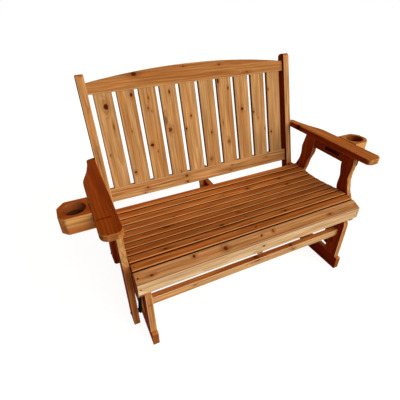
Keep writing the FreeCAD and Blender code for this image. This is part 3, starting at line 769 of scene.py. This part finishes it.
BACK_TONE = Tone("#CC9E69", "#A66C35", "#BA824A", "#D4AA78")
SEAT_TONE = Tone("#D08E50", "#A05A2A", "#BC7238", "#E4A868")
FRAME_TONE = Tone("#CF9C64", "#A36936", "#B87D47", "#DBB581")
ARM_TONE = Tone("#E6AE6C", "#B2723C", "#CA8B4B", "#EFCC8D")
STAND_TONE = Tone("#DFB57F", "#B17742", "#C9915A", "#E8C592")
NOSE_TONE = Tone("#DEC197", "#B68457", "#CA9D6D", "#DDBA8E")
CORBEL_TONE = Tone("#CF9C64", "#A36936", "#B87D47", "#A87848")
CUP_TONE = Tone("#E6AE6C", "#B2723C", "#CA8B4B", "#D6A066")
BRACE_TONE = Tone("#E49E62", "#B06A34", "#C98048", "#E2A86C")

# Stains with painted shade: each darkens a face by the way it looks, so the tops and sides carry
# painted shade.
PLAIN_STAIN_AND_SHADE = FacingStainAndShade(top="#F5B682", left="#C9705A")
SEAT_STAIN_AND_SHADE = FacingStainAndShade(top="#F7DDC2", left="#B86848")
NOSE_STAIN_AND_SHADE = FacingStainAndShade(top="#E6C19E", left="#B86848")
# The corbels' fronts are painted dark brown as the shadow that the legs and arms cast on them;
# their sides carry painted shade too.
CORBEL_PAINTED_SHADOW = FacingStainAndShade(front="#82320D", left="#B06048")
LEFT_ARM_STAIN_AND_SHADE = FacingStainAndShade(front="#DFC5B8", top="#BB7338", left="#B56A4D")
RIGHT_ARM_STAIN_AND_SHADE = FacingStainAndShade(front="#FFFFF7", top="#E9C3A0", left="#B56A4D")
UPPER_CUP_STAINS_AND_SHADE = {"left": FacingStainAndShade(top="#C7864A", left="#C8582A"),
                   "right": FacingStainAndShade(top="#F3CFA0", left="#C8582A")}
LOWER_CUP_STAIN_AND_SHADE = FacingStainAndShade(front="#F7DED3", left="#C14516")
TOP_RAIL_STAIN_AND_SHADE = FacingStainAndShade(front="#EBD9C4", top="#F5B682", left="#C66030")
POST_STAIN_AND_SHADE = FacingStainAndShade(top="#F5B682", left="#C66030")
FRONT_LEG_STAIN_AND_SHADE = FacingStainAndShade(left="#CC7C65")
REAR_LEG_STAIN_AND_SHADE = FacingStainAndShade(front="#FFE0B8", left="#DC9070")
BRACE_STAIN_AND_SHADE = FacingStainAndShade(front="#F0C8A0", top="#F5B682", left="#E8A078")
APRON_STAIN_AND_SHADE = FacingStainAndShade(left="#C06E53")
STRETCHER_STAIN_AND_SHADE = FacingStainAndShade(top="#FFC28C")
RUNNER_STAIN_AND_SHADE = FacingStainAndShade(front="#E5AF7B", left="#BD5436")
STAND_LEG_STAIN_AND_SHADE = FacingStainAndShade(front="#EEDCC8", left="#DC6F50")


def turned_mesh(name: str, rings: np.ndarray, first: np.ndarray,
                last: np.ndarray) -> bpy.types.Object:
    """Make one mesh of closed turned bodies.

    Each body is a stack of rings of points. Neighbouring rings are joined by quads, and the
    first and last ring are closed by fans to their pole points.

    Args:
        name: The piece's name.
        rings: Points as bodies by rings by points round by 3.
        first: The pole before the first ring of each body.
        last: The pole after the last ring of each body.

    Returns:
        The object, linked to the scene.
    """
    bodies, levels, round_count, _ = rings.shape
    ring_points = rings.reshape(-1, 3)
    points = np.concatenate([ring_points, first, last])
    body, level, step = np.meshgrid(np.arange(bodies), np.arange(levels - 1),
                                    np.arange(round_count), indexing="ij")
    here = (body * levels + level) * round_count
    after = (step + 1) % round_count
    quads = np.stack([here + step, here + round_count + step, here + round_count + after,
                      here + after], -1).reshape(-1, 4)
    body, step = np.meshgrid(np.arange(bodies), np.arange(round_count), indexing="ij")
    after = (step + 1) % round_count
    low = body * levels * round_count
    high = low + (levels - 1) * round_count
    count = len(ring_points)
    fans = np.concatenate([
        np.stack([count + body, low + step, low + after], -1).reshape(-1, 3),
        np.stack([count + bodies + body, high + after, high + step], -1).reshape(-1, 3)])
    mesh = bpy.data.meshes.new(name)
    mesh.from_pydata(points.tolist(), [], quads.tolist() + fans.tolist())
    mesh.update()
    return link_new(name, mesh)


@dataclass
class ScrewSet:
    """Pan-head wood screws with a six-lobed recess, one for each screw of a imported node.

    Attributes:
        node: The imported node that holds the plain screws.
        body: The body they ride on.
        head_radius: Radius of the head in mm.
        head_height: Height of the head in mm.
        shank_radius: Radius of the shank in mm.
        recess_radius: Middle radius of the drive recess in mm.
        recess_depth: Depth of the drive recess in mm.
        lobe: How far the recess's lobes stand out, as a share of its radius.
        point_length: Length of the tapered point in mm.
        points_round: How many points go round a screw.
    """

    node: str
    body: str
    head_radius: float = 4.0
    head_height: float = 2.5
    shank_radius: float = 2.0
    recess_radius: float = 1.55
    recess_depth: float = 1.5
    lobe: float = 0.16
    point_length: float = 6.0
    points_round: int = 36

    def places(self) -> tuple[np.ndarray, np.ndarray, np.ndarray]:
        """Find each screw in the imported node.

        Touching triangles are gathered into bodies by passing on the lowest vertex number
        until nothing changes. A body's long direction is its screw's axis, and the end with
        the widest points is the head.

        Returns:
            Head middles, unit axes into the wood, and lengths.
        """
        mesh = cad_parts[self.node].data
        points = read(mesh.vertices, "co", 3)
        _, merged = np.unique(np.round(points, 5), axis=0, return_inverse=True)
        faces = merged.ravel()[read(mesh.polygons, "vertices", 3, int)]
        label = np.arange(faces.max() + 1)
        while True:
            lowest = label[faces].min(1)
            passed = label.copy()
            for corner in range(3):
                np.minimum.at(passed, faces[:, corner], lowest)
            if (passed == label).all():
                break
            label = passed
        owner = label[merged.ravel()]
        found = [self.one_place(points[owner == one]) for one in np.unique(owner)]
        heads, into, lengths = zip(*found)
        return np.array(heads), np.array(into), np.array(lengths)

    @staticmethod
    def one_place(points: np.ndarray) -> tuple[np.ndarray, np.ndarray, float]:
        """Find one screw's head, axis and length from its points.

        Args:
            points: The screw's points.

        Returns:
            The middle of the head's outer face, the unit axis into the wood, the length.
        """
        middle = points.mean(0)
        axis = np.linalg.svd(points - middle, full_matrices=False)[2][0]
        along = (points - middle) @ axis
        wide = np.linalg.norm(points - middle - np.outer(along, axis), axis=1)
        if along[wide > 0.8 * wide.max()].mean() > (along.min() + along.max()) / 2:
            axis, along = -axis, -along
        centre = points - np.outer(along, axis)
        head = (centre.min(0) + centre.max(0)) / 2 + axis * along.min()
        return head, axis, float(np.ptp(along))

    def build(self) -> bpy.types.Object:
        """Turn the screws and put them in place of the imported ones.

        A screw is a profile of radius and depth carried round its axis. In the recess the
        radius also waves six times a turn.

        Returns:
            The finished piece.
        """
        heads, into, lengths = self.places()
        turn = np.linspace(0.0, 2 * np.pi, self.points_round, endpoint=False)
        wave = 1 + self.lobe * np.cos(6 * turn)
        plain = np.ones_like(turn)
        rim = self.head_radius
        profile = [
            (self.recess_radius * 0.92, self.recess_depth, wave),
            (self.recess_radius, 0.22, wave),
            (self.recess_radius * 1.16, 0.06, wave),
            (rim * 0.72, 0.0, plain),
            (rim * 0.90, 0.16, plain),
            (rim * 0.98, 0.5, plain),
            (rim, 1.0, plain),
            (rim * 0.96, self.head_height - 0.9, plain),
            (self.shank_radius, self.head_height, plain),
        ]
        radius = np.array([r * shape for r, _, shape in profile]) * MM
        depth = np.array([d for _, d, _ in profile]) * MM
        helper = np.where(np.abs(into[:, 2:3]) < 0.9, [[0.0, 0.0, 1.0]], [[1.0, 0.0, 0.0]])
        first = np.cross(into, helper)
        first /= np.linalg.norm(first, axis=1, keepdims=True)
        second = np.cross(into, first)
        spoke = (first[:, None] * np.cos(turn)[:, None]
                 + second[:, None] * np.sin(turn)[:, None])
        head_rings = (heads[:, None, None] + into[:, None, None] * depth[:, None, None]
                      + spoke[:, None] * radius[:, :, None])
        tip = heads + into * lengths[:, None]
        neck_end = tip - into * self.point_length * MM
        neck = neck_end[:, None, None] + spoke[:, None] * self.shank_radius * MM
        point = (tip - into * 0.2 * MM)[:, None, None] + spoke[:, None] * 0.3 * MM
        rings = np.concatenate([head_rings, neck, point], 1)
        piece = turned_mesh(f"{self.node}_turned", rings,
                            heads + into * self.recess_depth * MM, tip)
        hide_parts(self.node)
        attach(piece, self.body)
        LOG.info("%s: %d screws", piece.name, len(heads))
        return piece


class Assembly:
    """A named part of the bench whose boards are dressed together."""

    def boards(self) -> list[Board]:
        """Give the assembly's boards."""
        return []

    def dress(self, cedar: StainedCedar, knots: Tree) -> None:
        """Give each board its own cedar.

        Args:
            cedar: The finish.
            knots: The shared knot group.
        """
        for board in self.boards():
            put_on(board.node, BoardPaint(cedar, board, knots).finish())
        LOG.info("%s: %d boards in %s", type(self).__name__, len(self.boards()), cedar.name)


def put_on(node: str, material: bpy.types.Material) -> None:
    """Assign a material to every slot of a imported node.

    Args:
        node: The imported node's name.
        material: The finish.
    """
    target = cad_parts[node]
    for place in target.material_slots:
        place.material = material


@dataclass
class Seat(Assembly):
    """The twelve slats, counted from the upright nose slat to the rear.

    Attributes:
        knots: Each slat's knots, under its number.
        shades: Each slat's brightness, in order.
    """

    knots: dict[int, tuple[Knot, ...]] = field(default_factory=lambda: {
        1: (Knot(0, 5, 3.2, 1.4, 1.0),),
        2: (Knot(-334, 12, 6, 0.8, 0.7), Knot(-188, 0, 9, 0.9, 0.5), Knot(4, 5, 3, 1.2, 0.9),
            Knot(67, 6, 7, 0.6, 0.3), Knot(405, -7, 5, 1.6, 0.2), Knot(-528, -6, 4.5, 1.6, 0.5)),
        3: (Knot(8, 5, 2.5, 1.5, 0.5),),
        4: (Knot(-431, -3, 4.5, 2.0, 0.6), Knot(-288, -10, 4, 1.5, 0.5),
            Knot(204, -2, 5, 1.6, 0.6), Knot(176, -4, 3, 1.6, 0.3)),
        5: (Knot(-138, -15, 7, 1.6, 0.9),),
        6: (Knot(-9, 3, 4, 1.4, 0.4),),
        7: (Knot(-371, 13, 6, 2.6, 0.4),),
        9: (Knot(-309, -17, 5, 1.6, 0.8), Knot(393, -12, 6, 1.4, 0.7)),
        10: (Knot(158, 0, 6, 1.2, 0.6), Knot(388, 15, 6, 1.8, 0.4)),
    })
    shades: tuple[float, ...] = (1.12, 1.05, 0.96, 0.93, 0.9, 0.95, 0.92, 1.0, 0.97, 1.03,
                                 0.99, 1.06)

    def boards(self) -> list[Board]:
        """Give the slats, with a flat-sawn one at each step where the arches show."""
        cuts = (Cut.QUARTER, Cut.FLAT, Cut.RIFT)
        return [Board(f"seat_slat_{i:02d}", Run.ACROSS, cuts[i % 3], self.knots.get(i, ()),
                      self.shades[i - 1], tone=NOSE_TONE if i < 3 else None,
                      coat=NOSE_STAIN_AND_SHADE if i < 3 else SEAT_STAIN_AND_SHADE,
                      gap_shade=0.0 if i == 1 else 0.9, figure=1.0 if i < 3 else 1.4)
                for i in range(1, 13)]


@dataclass
class Back(Assembly):
    """The ten back slats, counted from the left.

    Attributes:
        knots: Each slat's knots, under its number.
        shades: Each slat's brightness, in order.
    """

    knots: dict[int, tuple[Knot, ...]] = field(default_factory=lambda: {
        1: (Knot(170, 3, 9.5, 1.3, 1.0), Knot(-64, -26, 3.2, 1.4, 0.6),
            Knot(72, 20, 4, 3.0, 0.1)),
        2: (Knot(209, 26, 6, 1.2, 1.0), Knot(-175, -27, 5.5, 1.1, 0.9),
            Knot(36, -4, 3, 1.5, 0.2), Knot(20, 40, 3, 1.6, 0.6)),
        3: (Knot(185, 0, 4, 1.4, 0.3), Knot(136, -10, 4.5, 1.2, 0.4), Knot(119, 7, 3, 1.3, 0.5),
            Knot(-52, -21, 8, 0.8, 1.0), Knot(-90, 3, 3.2, 1.0, 0.9)),
        4: (Knot(201, 6, 4.5, 2.0, 0.8), Knot(63, -36, 7, 2.5, 0.2), Knot(10, -18, 9, 1.1, 0.5),
            Knot(-228, 8, 3.5, 1.2, 0.9)),
        5: (Knot(64, 1, 4.5, 1.1, 0.9), Knot(0, -37, 5, 1.1, 0.9)),
        6: (Knot(-45, 4, 4.5, 1.2, 0.8), Knot(-195, -16, 7, 1.0, 0.2)),
        7: (Knot(222, -38, 8, 1.3, 1.0), Knot(179, 23, 4.5, 1.3, 1.0),
            Knot(-114, 1, 7.5, 1.1, 0.25), Knot(-4, -27, 3, 2.5, 0.3)),
        8: (Knot(56, -5, 7, 1.1, 1.0),),
        9: (Knot(27, -39, 5.5, 1.2, 1.0), Knot(-12, -8, 3, 1.6, 0.2), Knot(-81, 37, 3.5, 1.4, 0.5)),
        10: (Knot(142, -37, 4, 1.2, 0.8), Knot(-108, -28, 4.5, 1.4, 1.0)),
    })
    shades: tuple[float, ...] = (1.0, 0.98, 1.0, 1.0, 1.06, 0.97, 1.0, 1.03, 0.98, 0.93)

    def boards(self) -> list[Board]:
        """Give the slats, flat and rift sawn in turn."""
        cuts = (Cut.RIFT, Cut.FLAT, Cut.QUARTER, Cut.RIFT)
        return [Board(f"back_slat_{i:02d}", Run.RECLINED, cuts[i % 4], self.knots.get(i, ()),
                      self.shades[i - 1], gap_shade=0.45) for i in range(1, 11)]


@dataclass
class Frame(Assembly):
    """Posts, rails, brace, ribs, legs, aprons and corbels of the swinging bench.

    Attributes:
        rail_knots: The bottom rail's knots.
    """

    rail_knots: tuple[Knot, ...] = (
        Knot(-361, -1, 5, 1.2, 0.8), Knot(-380, -28, 4.5, 1.2, 0.8),
        Knot(-129, 12, 6, 1.2, 0.8), Knot(-129, -22, 5.5, 1.2, 0.8),
        Knot(166, 12, 4, 1.2, 0.6), Knot(157, -18, 4, 1.2, 0.6), Knot(411, 12, 4, 2.0, 0.2))

    def boards(self) -> list[Board]:
        """List the boards of the bench's frame, those with two sides in a loop.

        Returns:
            The boards.
        """
        found = [
            Board("bottom_rail", Run.ACROSS, Cut.RIFT, self.rail_knots, coat=PLAIN_STAIN_AND_SHADE,
                  figure=1.8),
            Board("top_rail", Run.ACROSS, Cut.RIFT,
                  (Knot(-327, 21, 8.5, 1.3, 0.8), Knot(-64, 33, 4, 1.6, 0.4),
                   Knot(143, 24, 4.5, 1.4, 0.7), Knot(313, -30, 5, 2.4, 0.1)),
                  coat=TOP_RAIL_STAIN_AND_SHADE),
            Board("centre_brace", Run.RECLINED, Cut.RIFT, (Knot(-30, 5, 4),), tone=BRACE_TONE,
                  coat=BRACE_STAIN_AND_SHADE),
        ]
        for side in ("left", "right", "centre"):
            found.append(Board(f"seat_rib_{side}", Run.DEEP, Cut.QUARTER, (), 0.95,
                               coat=PLAIN_STAIN_AND_SHADE))
        post_knots = {
            "left": (Knot(199, 6, 5, 1.2, 0.8), Knot(20, 10, 4.5), Knot(5, -12, 4, 1.2, 0.9)),
            "right": (Knot(-24, 15, 4, 1.4, 0.3),)}
        for side in ("left", "right"):
            found += [
                Board(f"back_post_{side}", Run.RECLINED, Cut.RIFT, post_knots[side],
                      edge_on=True, coat=POST_STAIN_AND_SHADE, figure=2.0),
                Board(f"front_leg_{side}", Run.UP, Cut.RIFT, (Knot(-120, 20, 5),),
                      coat=FRONT_LEG_STAIN_AND_SHADE, figure=1.4, foot="#E4BFA6"),
                Board(f"rear_leg_{side}", Run.UP, Cut.RIFT, (Knot(90, -10, 7),),
                      coat=REAR_LEG_STAIN_AND_SHADE),
                Board(f"apron_{side}", Run.DEEP, Cut.QUARTER, coat=APRON_STAIN_AND_SHADE),
                Board(f"corbel_{side}", Run.UP, Cut.QUARTER, tone=CORBEL_TONE,
                      coat=CORBEL_PAINTED_SHADOW),
            ]
        return found


class Arms(Assembly):
    """The two arm boards."""

    def boards(self) -> list[Board]:
        """Give the arm boards, with the dark marks near their fronts."""
        return [
            Board("arm_left", Run.DEEP, Cut.RIFT,
                  (Knot(-212, 8, 7, 0.25, 0.7), Knot(-212, -12, 7, 0.25, 0.8),
                   Knot(-212, -30, 6, 0.25, 0.6)), 0.96, coat=LEFT_ARM_STAIN_AND_SHADE, figure=1.15),
            Board("arm_right", Run.DEEP, Cut.RIFT,
                  (Knot(-152, 2, 3.5, 0.5, 0.5), Knot(205, -40, 6, 1.4, 0.9)), 1.08,
                  coat=RIGHT_ARM_STAIN_AND_SHADE, figure=1.4),
        ]


@dataclass
class CupHolders(Assembly):
    """The two sliding cup holders, each glued up from two boards.

    Attributes:
        well_radius: Radius of the wells in mm.
        well_places: Each well's axis as (x, y) in metres.
        level_paint: The colour of the well's wall in each board; the lower board's near-black is
            painted shade.
        slot_x: How far from the middle the apron's outer face is, in metres.
        shadow_line: Width of the painted shadow line beside the arm, in metres.
    """

    well_radius: float = 45.0
    well_places: dict[str, tuple[float, float]] = field(default_factory=lambda: {
        "left": (-0.7413, -0.142658), "right": (0.7413, -0.130658)})
    level_paint: dict[str, str] = field(default_factory=lambda: {
        "upper": "#984A20", "lower": "#3A1004"})
    slot_x: float = 0.625
    shadow_line: float = 0.0035

    def boards(self) -> list[Board]:
        """List the upper and lower boards of both holders, with the wells bored in them.

        Returns:
            The boards.
        """
        cuts = {"upper": Cut.RIFT, "lower": Cut.QUARTER}
        arm_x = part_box("arm_right")[1][0] + self.shadow_line
        return [Board(f"cup_board_{level}_{side}", Run.ACROSS, cuts[level], tone=CUP_TONE,
                      coat=UPPER_CUP_STAINS_AND_SHADE[side] if level == "upper" else LOWER_CUP_STAIN_AND_SHADE,
                      figure=0.6,
                      well=Well(x, y, self.well_radius, paint, self.slot_x, arm_x))
                for side, (x, y) in self.well_places.items()
                for level, paint in self.level_paint.items()]


class Stand(Assembly):
    """The fixed stand: two sides and two stretchers."""

    def boards(self) -> list[Board]:
        """List the stand's boards, those with two sides in a loop.

        Returns:
            The boards.
        """
        found = [
            Board("front_stretcher", Run.ACROSS, Cut.RIFT,
                  (Knot(11, 14, 7, 2.2, 0.3), Knot(221, 16, 5, 1.8, 0.3),
                   Knot(233, 0, 5.5, 1.2, 0.4), Knot(-330, 4, 4)), coat=STRETCHER_STAIN_AND_SHADE),
            Board("rear_stretcher", Run.ACROSS, Cut.FLAT, (Knot(140, 3, 5),),
                  coat=STRETCHER_STAIN_AND_SHADE),
        ]
        for side in ("left", "right"):
            found += [
                Board(f"runner_{side}", Run.DEEP, Cut.RIFT, (Knot(120, -20, 6),),
                      coat=RUNNER_STAIN_AND_SHADE),
                Board(f"stand_front_leg_{side}", Run.UP, Cut.RIFT,
                      (Knot(-40, 10, 5), Knot(51, -34, 4.5, 0.6, 1.0)),
                      coat=STAND_LEG_STAIN_AND_SHADE),
                Board(f"stand_rear_leg_{side}", Run.UP, Cut.RIFT, (Knot(30, -10, 5),),
                      coat=STAND_LEG_STAIN_AND_SHADE),
            ]
        return found


@dataclass
class Hardware:
    """Links, pivot bolts and screws.

    Attributes:
        links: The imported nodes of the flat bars.
        bolts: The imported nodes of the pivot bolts.
        screws: The screw sets to turn again.
    """

    links: tuple[str, ...] = ("link_front_left", "link_front_right", "link_rear_left",
                              "link_rear_right")
    bolts: tuple[str, ...] = ("upper_pivot_bolts", "lower_pivot_bolts")
    screws: tuple[ScrewSet, ...] = (ScrewSet("bench_screws", "bench"),
                                    ScrewSet("stand_screws", "stand"))

    def build(self) -> None:
        """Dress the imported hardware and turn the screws."""
        powder, zinc = BLACK_POWDER_COAT.material(), BLACK_ZINC.material()
        coat = BROWN_SCREW_COAT.material()
        for node in self.links:
            put_on(node, powder)
        for node in self.bolts:
            put_on(node, zinc)
        for screws in self.screws:
            screws.build().data.materials.append(coat)
        LOG.info("Hardware: %d links, %d bolt sets", len(self.links), len(self.bolts))


@dataclass
class Lamp:
    """A distant soft lamp.

    Attributes:
        name: The lamp's name.
        bearing: Where it stands, in degrees from the front towards the bench's right.
        height: Degrees above the floor.
        level: Its light as a share of that at which a white card facing it is white.
        softness: How wide it looks, in degrees.
        colour: Its colour.
    """

    name: str
    bearing: float
    height: float
    level: float
    softness: float
    colour: str

    def hang(self) -> None:
        """Put the lamp in the scene."""
        lamp = bpy.data.lights.new(self.name, "SUN")
        lamp.energy = self.level * math.pi
        lamp.angle = math.radians(self.softness)
        lamp.color = linear(self.colour)[:3]
        turn, lift = math.radians(self.bearing), math.radians(self.height)
        towards = Vector((math.sin(turn) * math.cos(lift), -math.cos(turn) * math.cos(lift),
                          math.sin(lift)))
        holder = link_new(self.name, lamp)
        holder.rotation_euler = towards.to_track_quat("Z", "Y").to_euler()
        holder.location = towards * 4.0
        LOG.info("lamp %s", self.name)


@dataclass
class Studio:
    """A white floor that runs out of sight, a white surround, soft lamps and the camera.

    Attributes:
        floor_reach: Half the floor's width in metres.
        floor_squares: How many squares it has along each side.
        floor_drop: How far it lies below the stand, in metres.
        floor_own_light: How brightly it glows by itself, as a share of white.
        ambient: How brightly the surround lights the bench, as a share of white.
        lamps: The lamps.
        eye: Where the camera stands, in metres.
        heading: How far the camera is turned from straight ahead to the right, in radians.
        dip: How far it looks down, in radians.
        roll: How far it leans about its line of sight, in radians.
        lens: Its focal length in mm.
        sensor: Its sensor's width in mm.
    """

    floor_reach: float = 30.0
    floor_squares: int = 8
    floor_drop: float = 0.0004
    floor_own_light: float = 0.92
    ambient: float = 0.17
    lamps: tuple[Lamp, ...] = (
        Lamp("key", 30.0, 22.0, 1.0, 70.0, "#FFFBF4"),
        Lamp("rear_fill", 180.0, 10.0, 0.2, 40.0, "#FFF4E6"),
    )
    eye: tuple[float, float, float] = (-0.706, -1.22566, 1.372)
    heading: float = 0.4315
    dip: float = 0.5982
    roll: float = -0.0127
    lens: float = 27.91
    sensor: float = 36.0

    def build(self) -> None:
        """Build floor, surround, lamps and camera."""
        self.lay_floor()
        self.surround()
        for lamp in self.lamps:
            lamp.hang()
        self.camera()
        bpy.context.scene.view_settings.view_transform = "Standard"

    @staticmethod
    def seen(tree: Tree) -> Socket:
        """Tell the rays that show the background: camera, glossy and transmission ones.

        Args:
            tree: The floor's or the surround's tree.

        Returns:
            1 for such a ray and 0 for any other.
        """
        path = add(tree, "LightPath")
        some = add(tree, "Math", [path["Is Camera Ray"], path["Is Glossy Ray"]],
                   operation="MAXIMUM")[0]
        return add(tree, "Math", [some, path["Is Transmission Ray"]], operation="MAXIMUM")[0]

    def lay_floor(self) -> None:
        """Lay a wide flat floor, white where light falls and pale grey in the shadow."""
        side, count = self.floor_squares, self.floor_squares + 1
        reach = np.linspace(-self.floor_reach, self.floor_reach, count)
        x, y = np.meshgrid(reach, reach, indexing="xy")
        points = np.stack([x, y, np.full_like(x, -self.floor_drop)], -1).reshape(-1, 3)
        row, column = np.meshgrid(np.arange(side), np.arange(side), indexing="ij")
        corner = (row * count + column).ravel()
        quads = np.stack([corner, corner + 1, corner + count + 1, corner + count], -1)
        mesh = bpy.data.meshes.new("floor")
        mesh.from_pydata(points.tolist(), [], quads.tolist())
        floor = link_new("floor", mesh)
        material = bpy.data.materials.new("white_paper_sweep")
        tree = empty_tree(material)
        paper = add(tree, "BsdfDiffuse", {"Color": linear("#8C867E")})[0]
        glow = add(tree, "Emission", {"Color": linear("#FFFFFF"),
                                      "Strength": self.floor_own_light})[0]
        lit = add(tree, "AddShader", [paper, glow])[0]
        dull = add(tree, "BsdfDiffuse", {"Color": linear("#A89A8C")})[0]
        mixed = add(tree, "MixShader", [self.seen(tree), dull, lit])[0]
        add(tree, "OutputMaterial", {"Surface": mixed})
        mesh.materials.append(material)
        LOG.info("floor")

    def surround(self) -> None:
        """Set the surround: white to the eye, low and warm as light."""
        world = bpy.data.worlds.new("white_surround")
        bpy.context.scene.world = world
        tree = empty_tree(world)
        low = add(tree, "Background", {"Color": linear("#FFEBD8"),
                                       "Strength": self.ambient})[0]
        white = add(tree, "Background", {"Color": linear("#FFFFFF"), "Strength": 1.0})[0]
        mixed = add(tree, "MixShader", [self.seen(tree), low, white])[0]
        add(tree, "OutputWorld", {"Surface": mixed})

    def camera(self) -> None:
        """Stand the camera where the photograph was taken, for a square picture."""
        ahead = Vector((math.sin(self.heading) * math.cos(self.dip),
                        math.cos(self.heading) * math.cos(self.dip), -math.sin(self.dip)))
        right = Vector((math.cos(self.heading), -math.sin(self.heading), 0.0))
        up = right.cross(ahead)
        turned_right = right * math.cos(self.roll) + up * math.sin(self.roll)
        turned_up = up * math.cos(self.roll) - right * math.sin(self.roll)
        lens = bpy.data.cameras.new("camera")
        lens.lens, lens.sensor_width = self.lens, self.sensor
        holder = link_new("camera", lens)
        axes = Matrix((turned_right, turned_up, -ahead)).transposed().to_4x4()
        holder.matrix_world = Matrix.Translation(self.eye) @ axes
        bpy.context.scene.camera = holder
        LOG.info("camera")


def main() -> None:
    """Build and dress everything in order."""
    logging.basicConfig(level=logging.INFO, format="%(name)s: %(message)s")
    knots = knot_group()
    Seat().dress(StainedCedar("seat_cedar", SEAT_TONE, contrast=0.3), knots)
    Back().dress(StainedCedar("back_cedar", BACK_TONE, contrast=0.3, gap_shade_reach=6.0,
                              gap_shade_behind=6.0), knots)
    Frame().dress(StainedCedar("frame_cedar", FRAME_TONE, contrast=0.28), knots)
    Arms().dress(StainedCedar("arm_cedar", ARM_TONE, contrast=0.25), knots)
    CupHolders().dress(StainedCedar("arm_cedar", ARM_TONE, contrast=0.25), knots)
    Stand().dress(StainedCedar("stand_cedar", STAND_TONE, contrast=0.28), knots)
    Hardware().build()
    Studio().build()


if __name__ == "__main__":
    main()
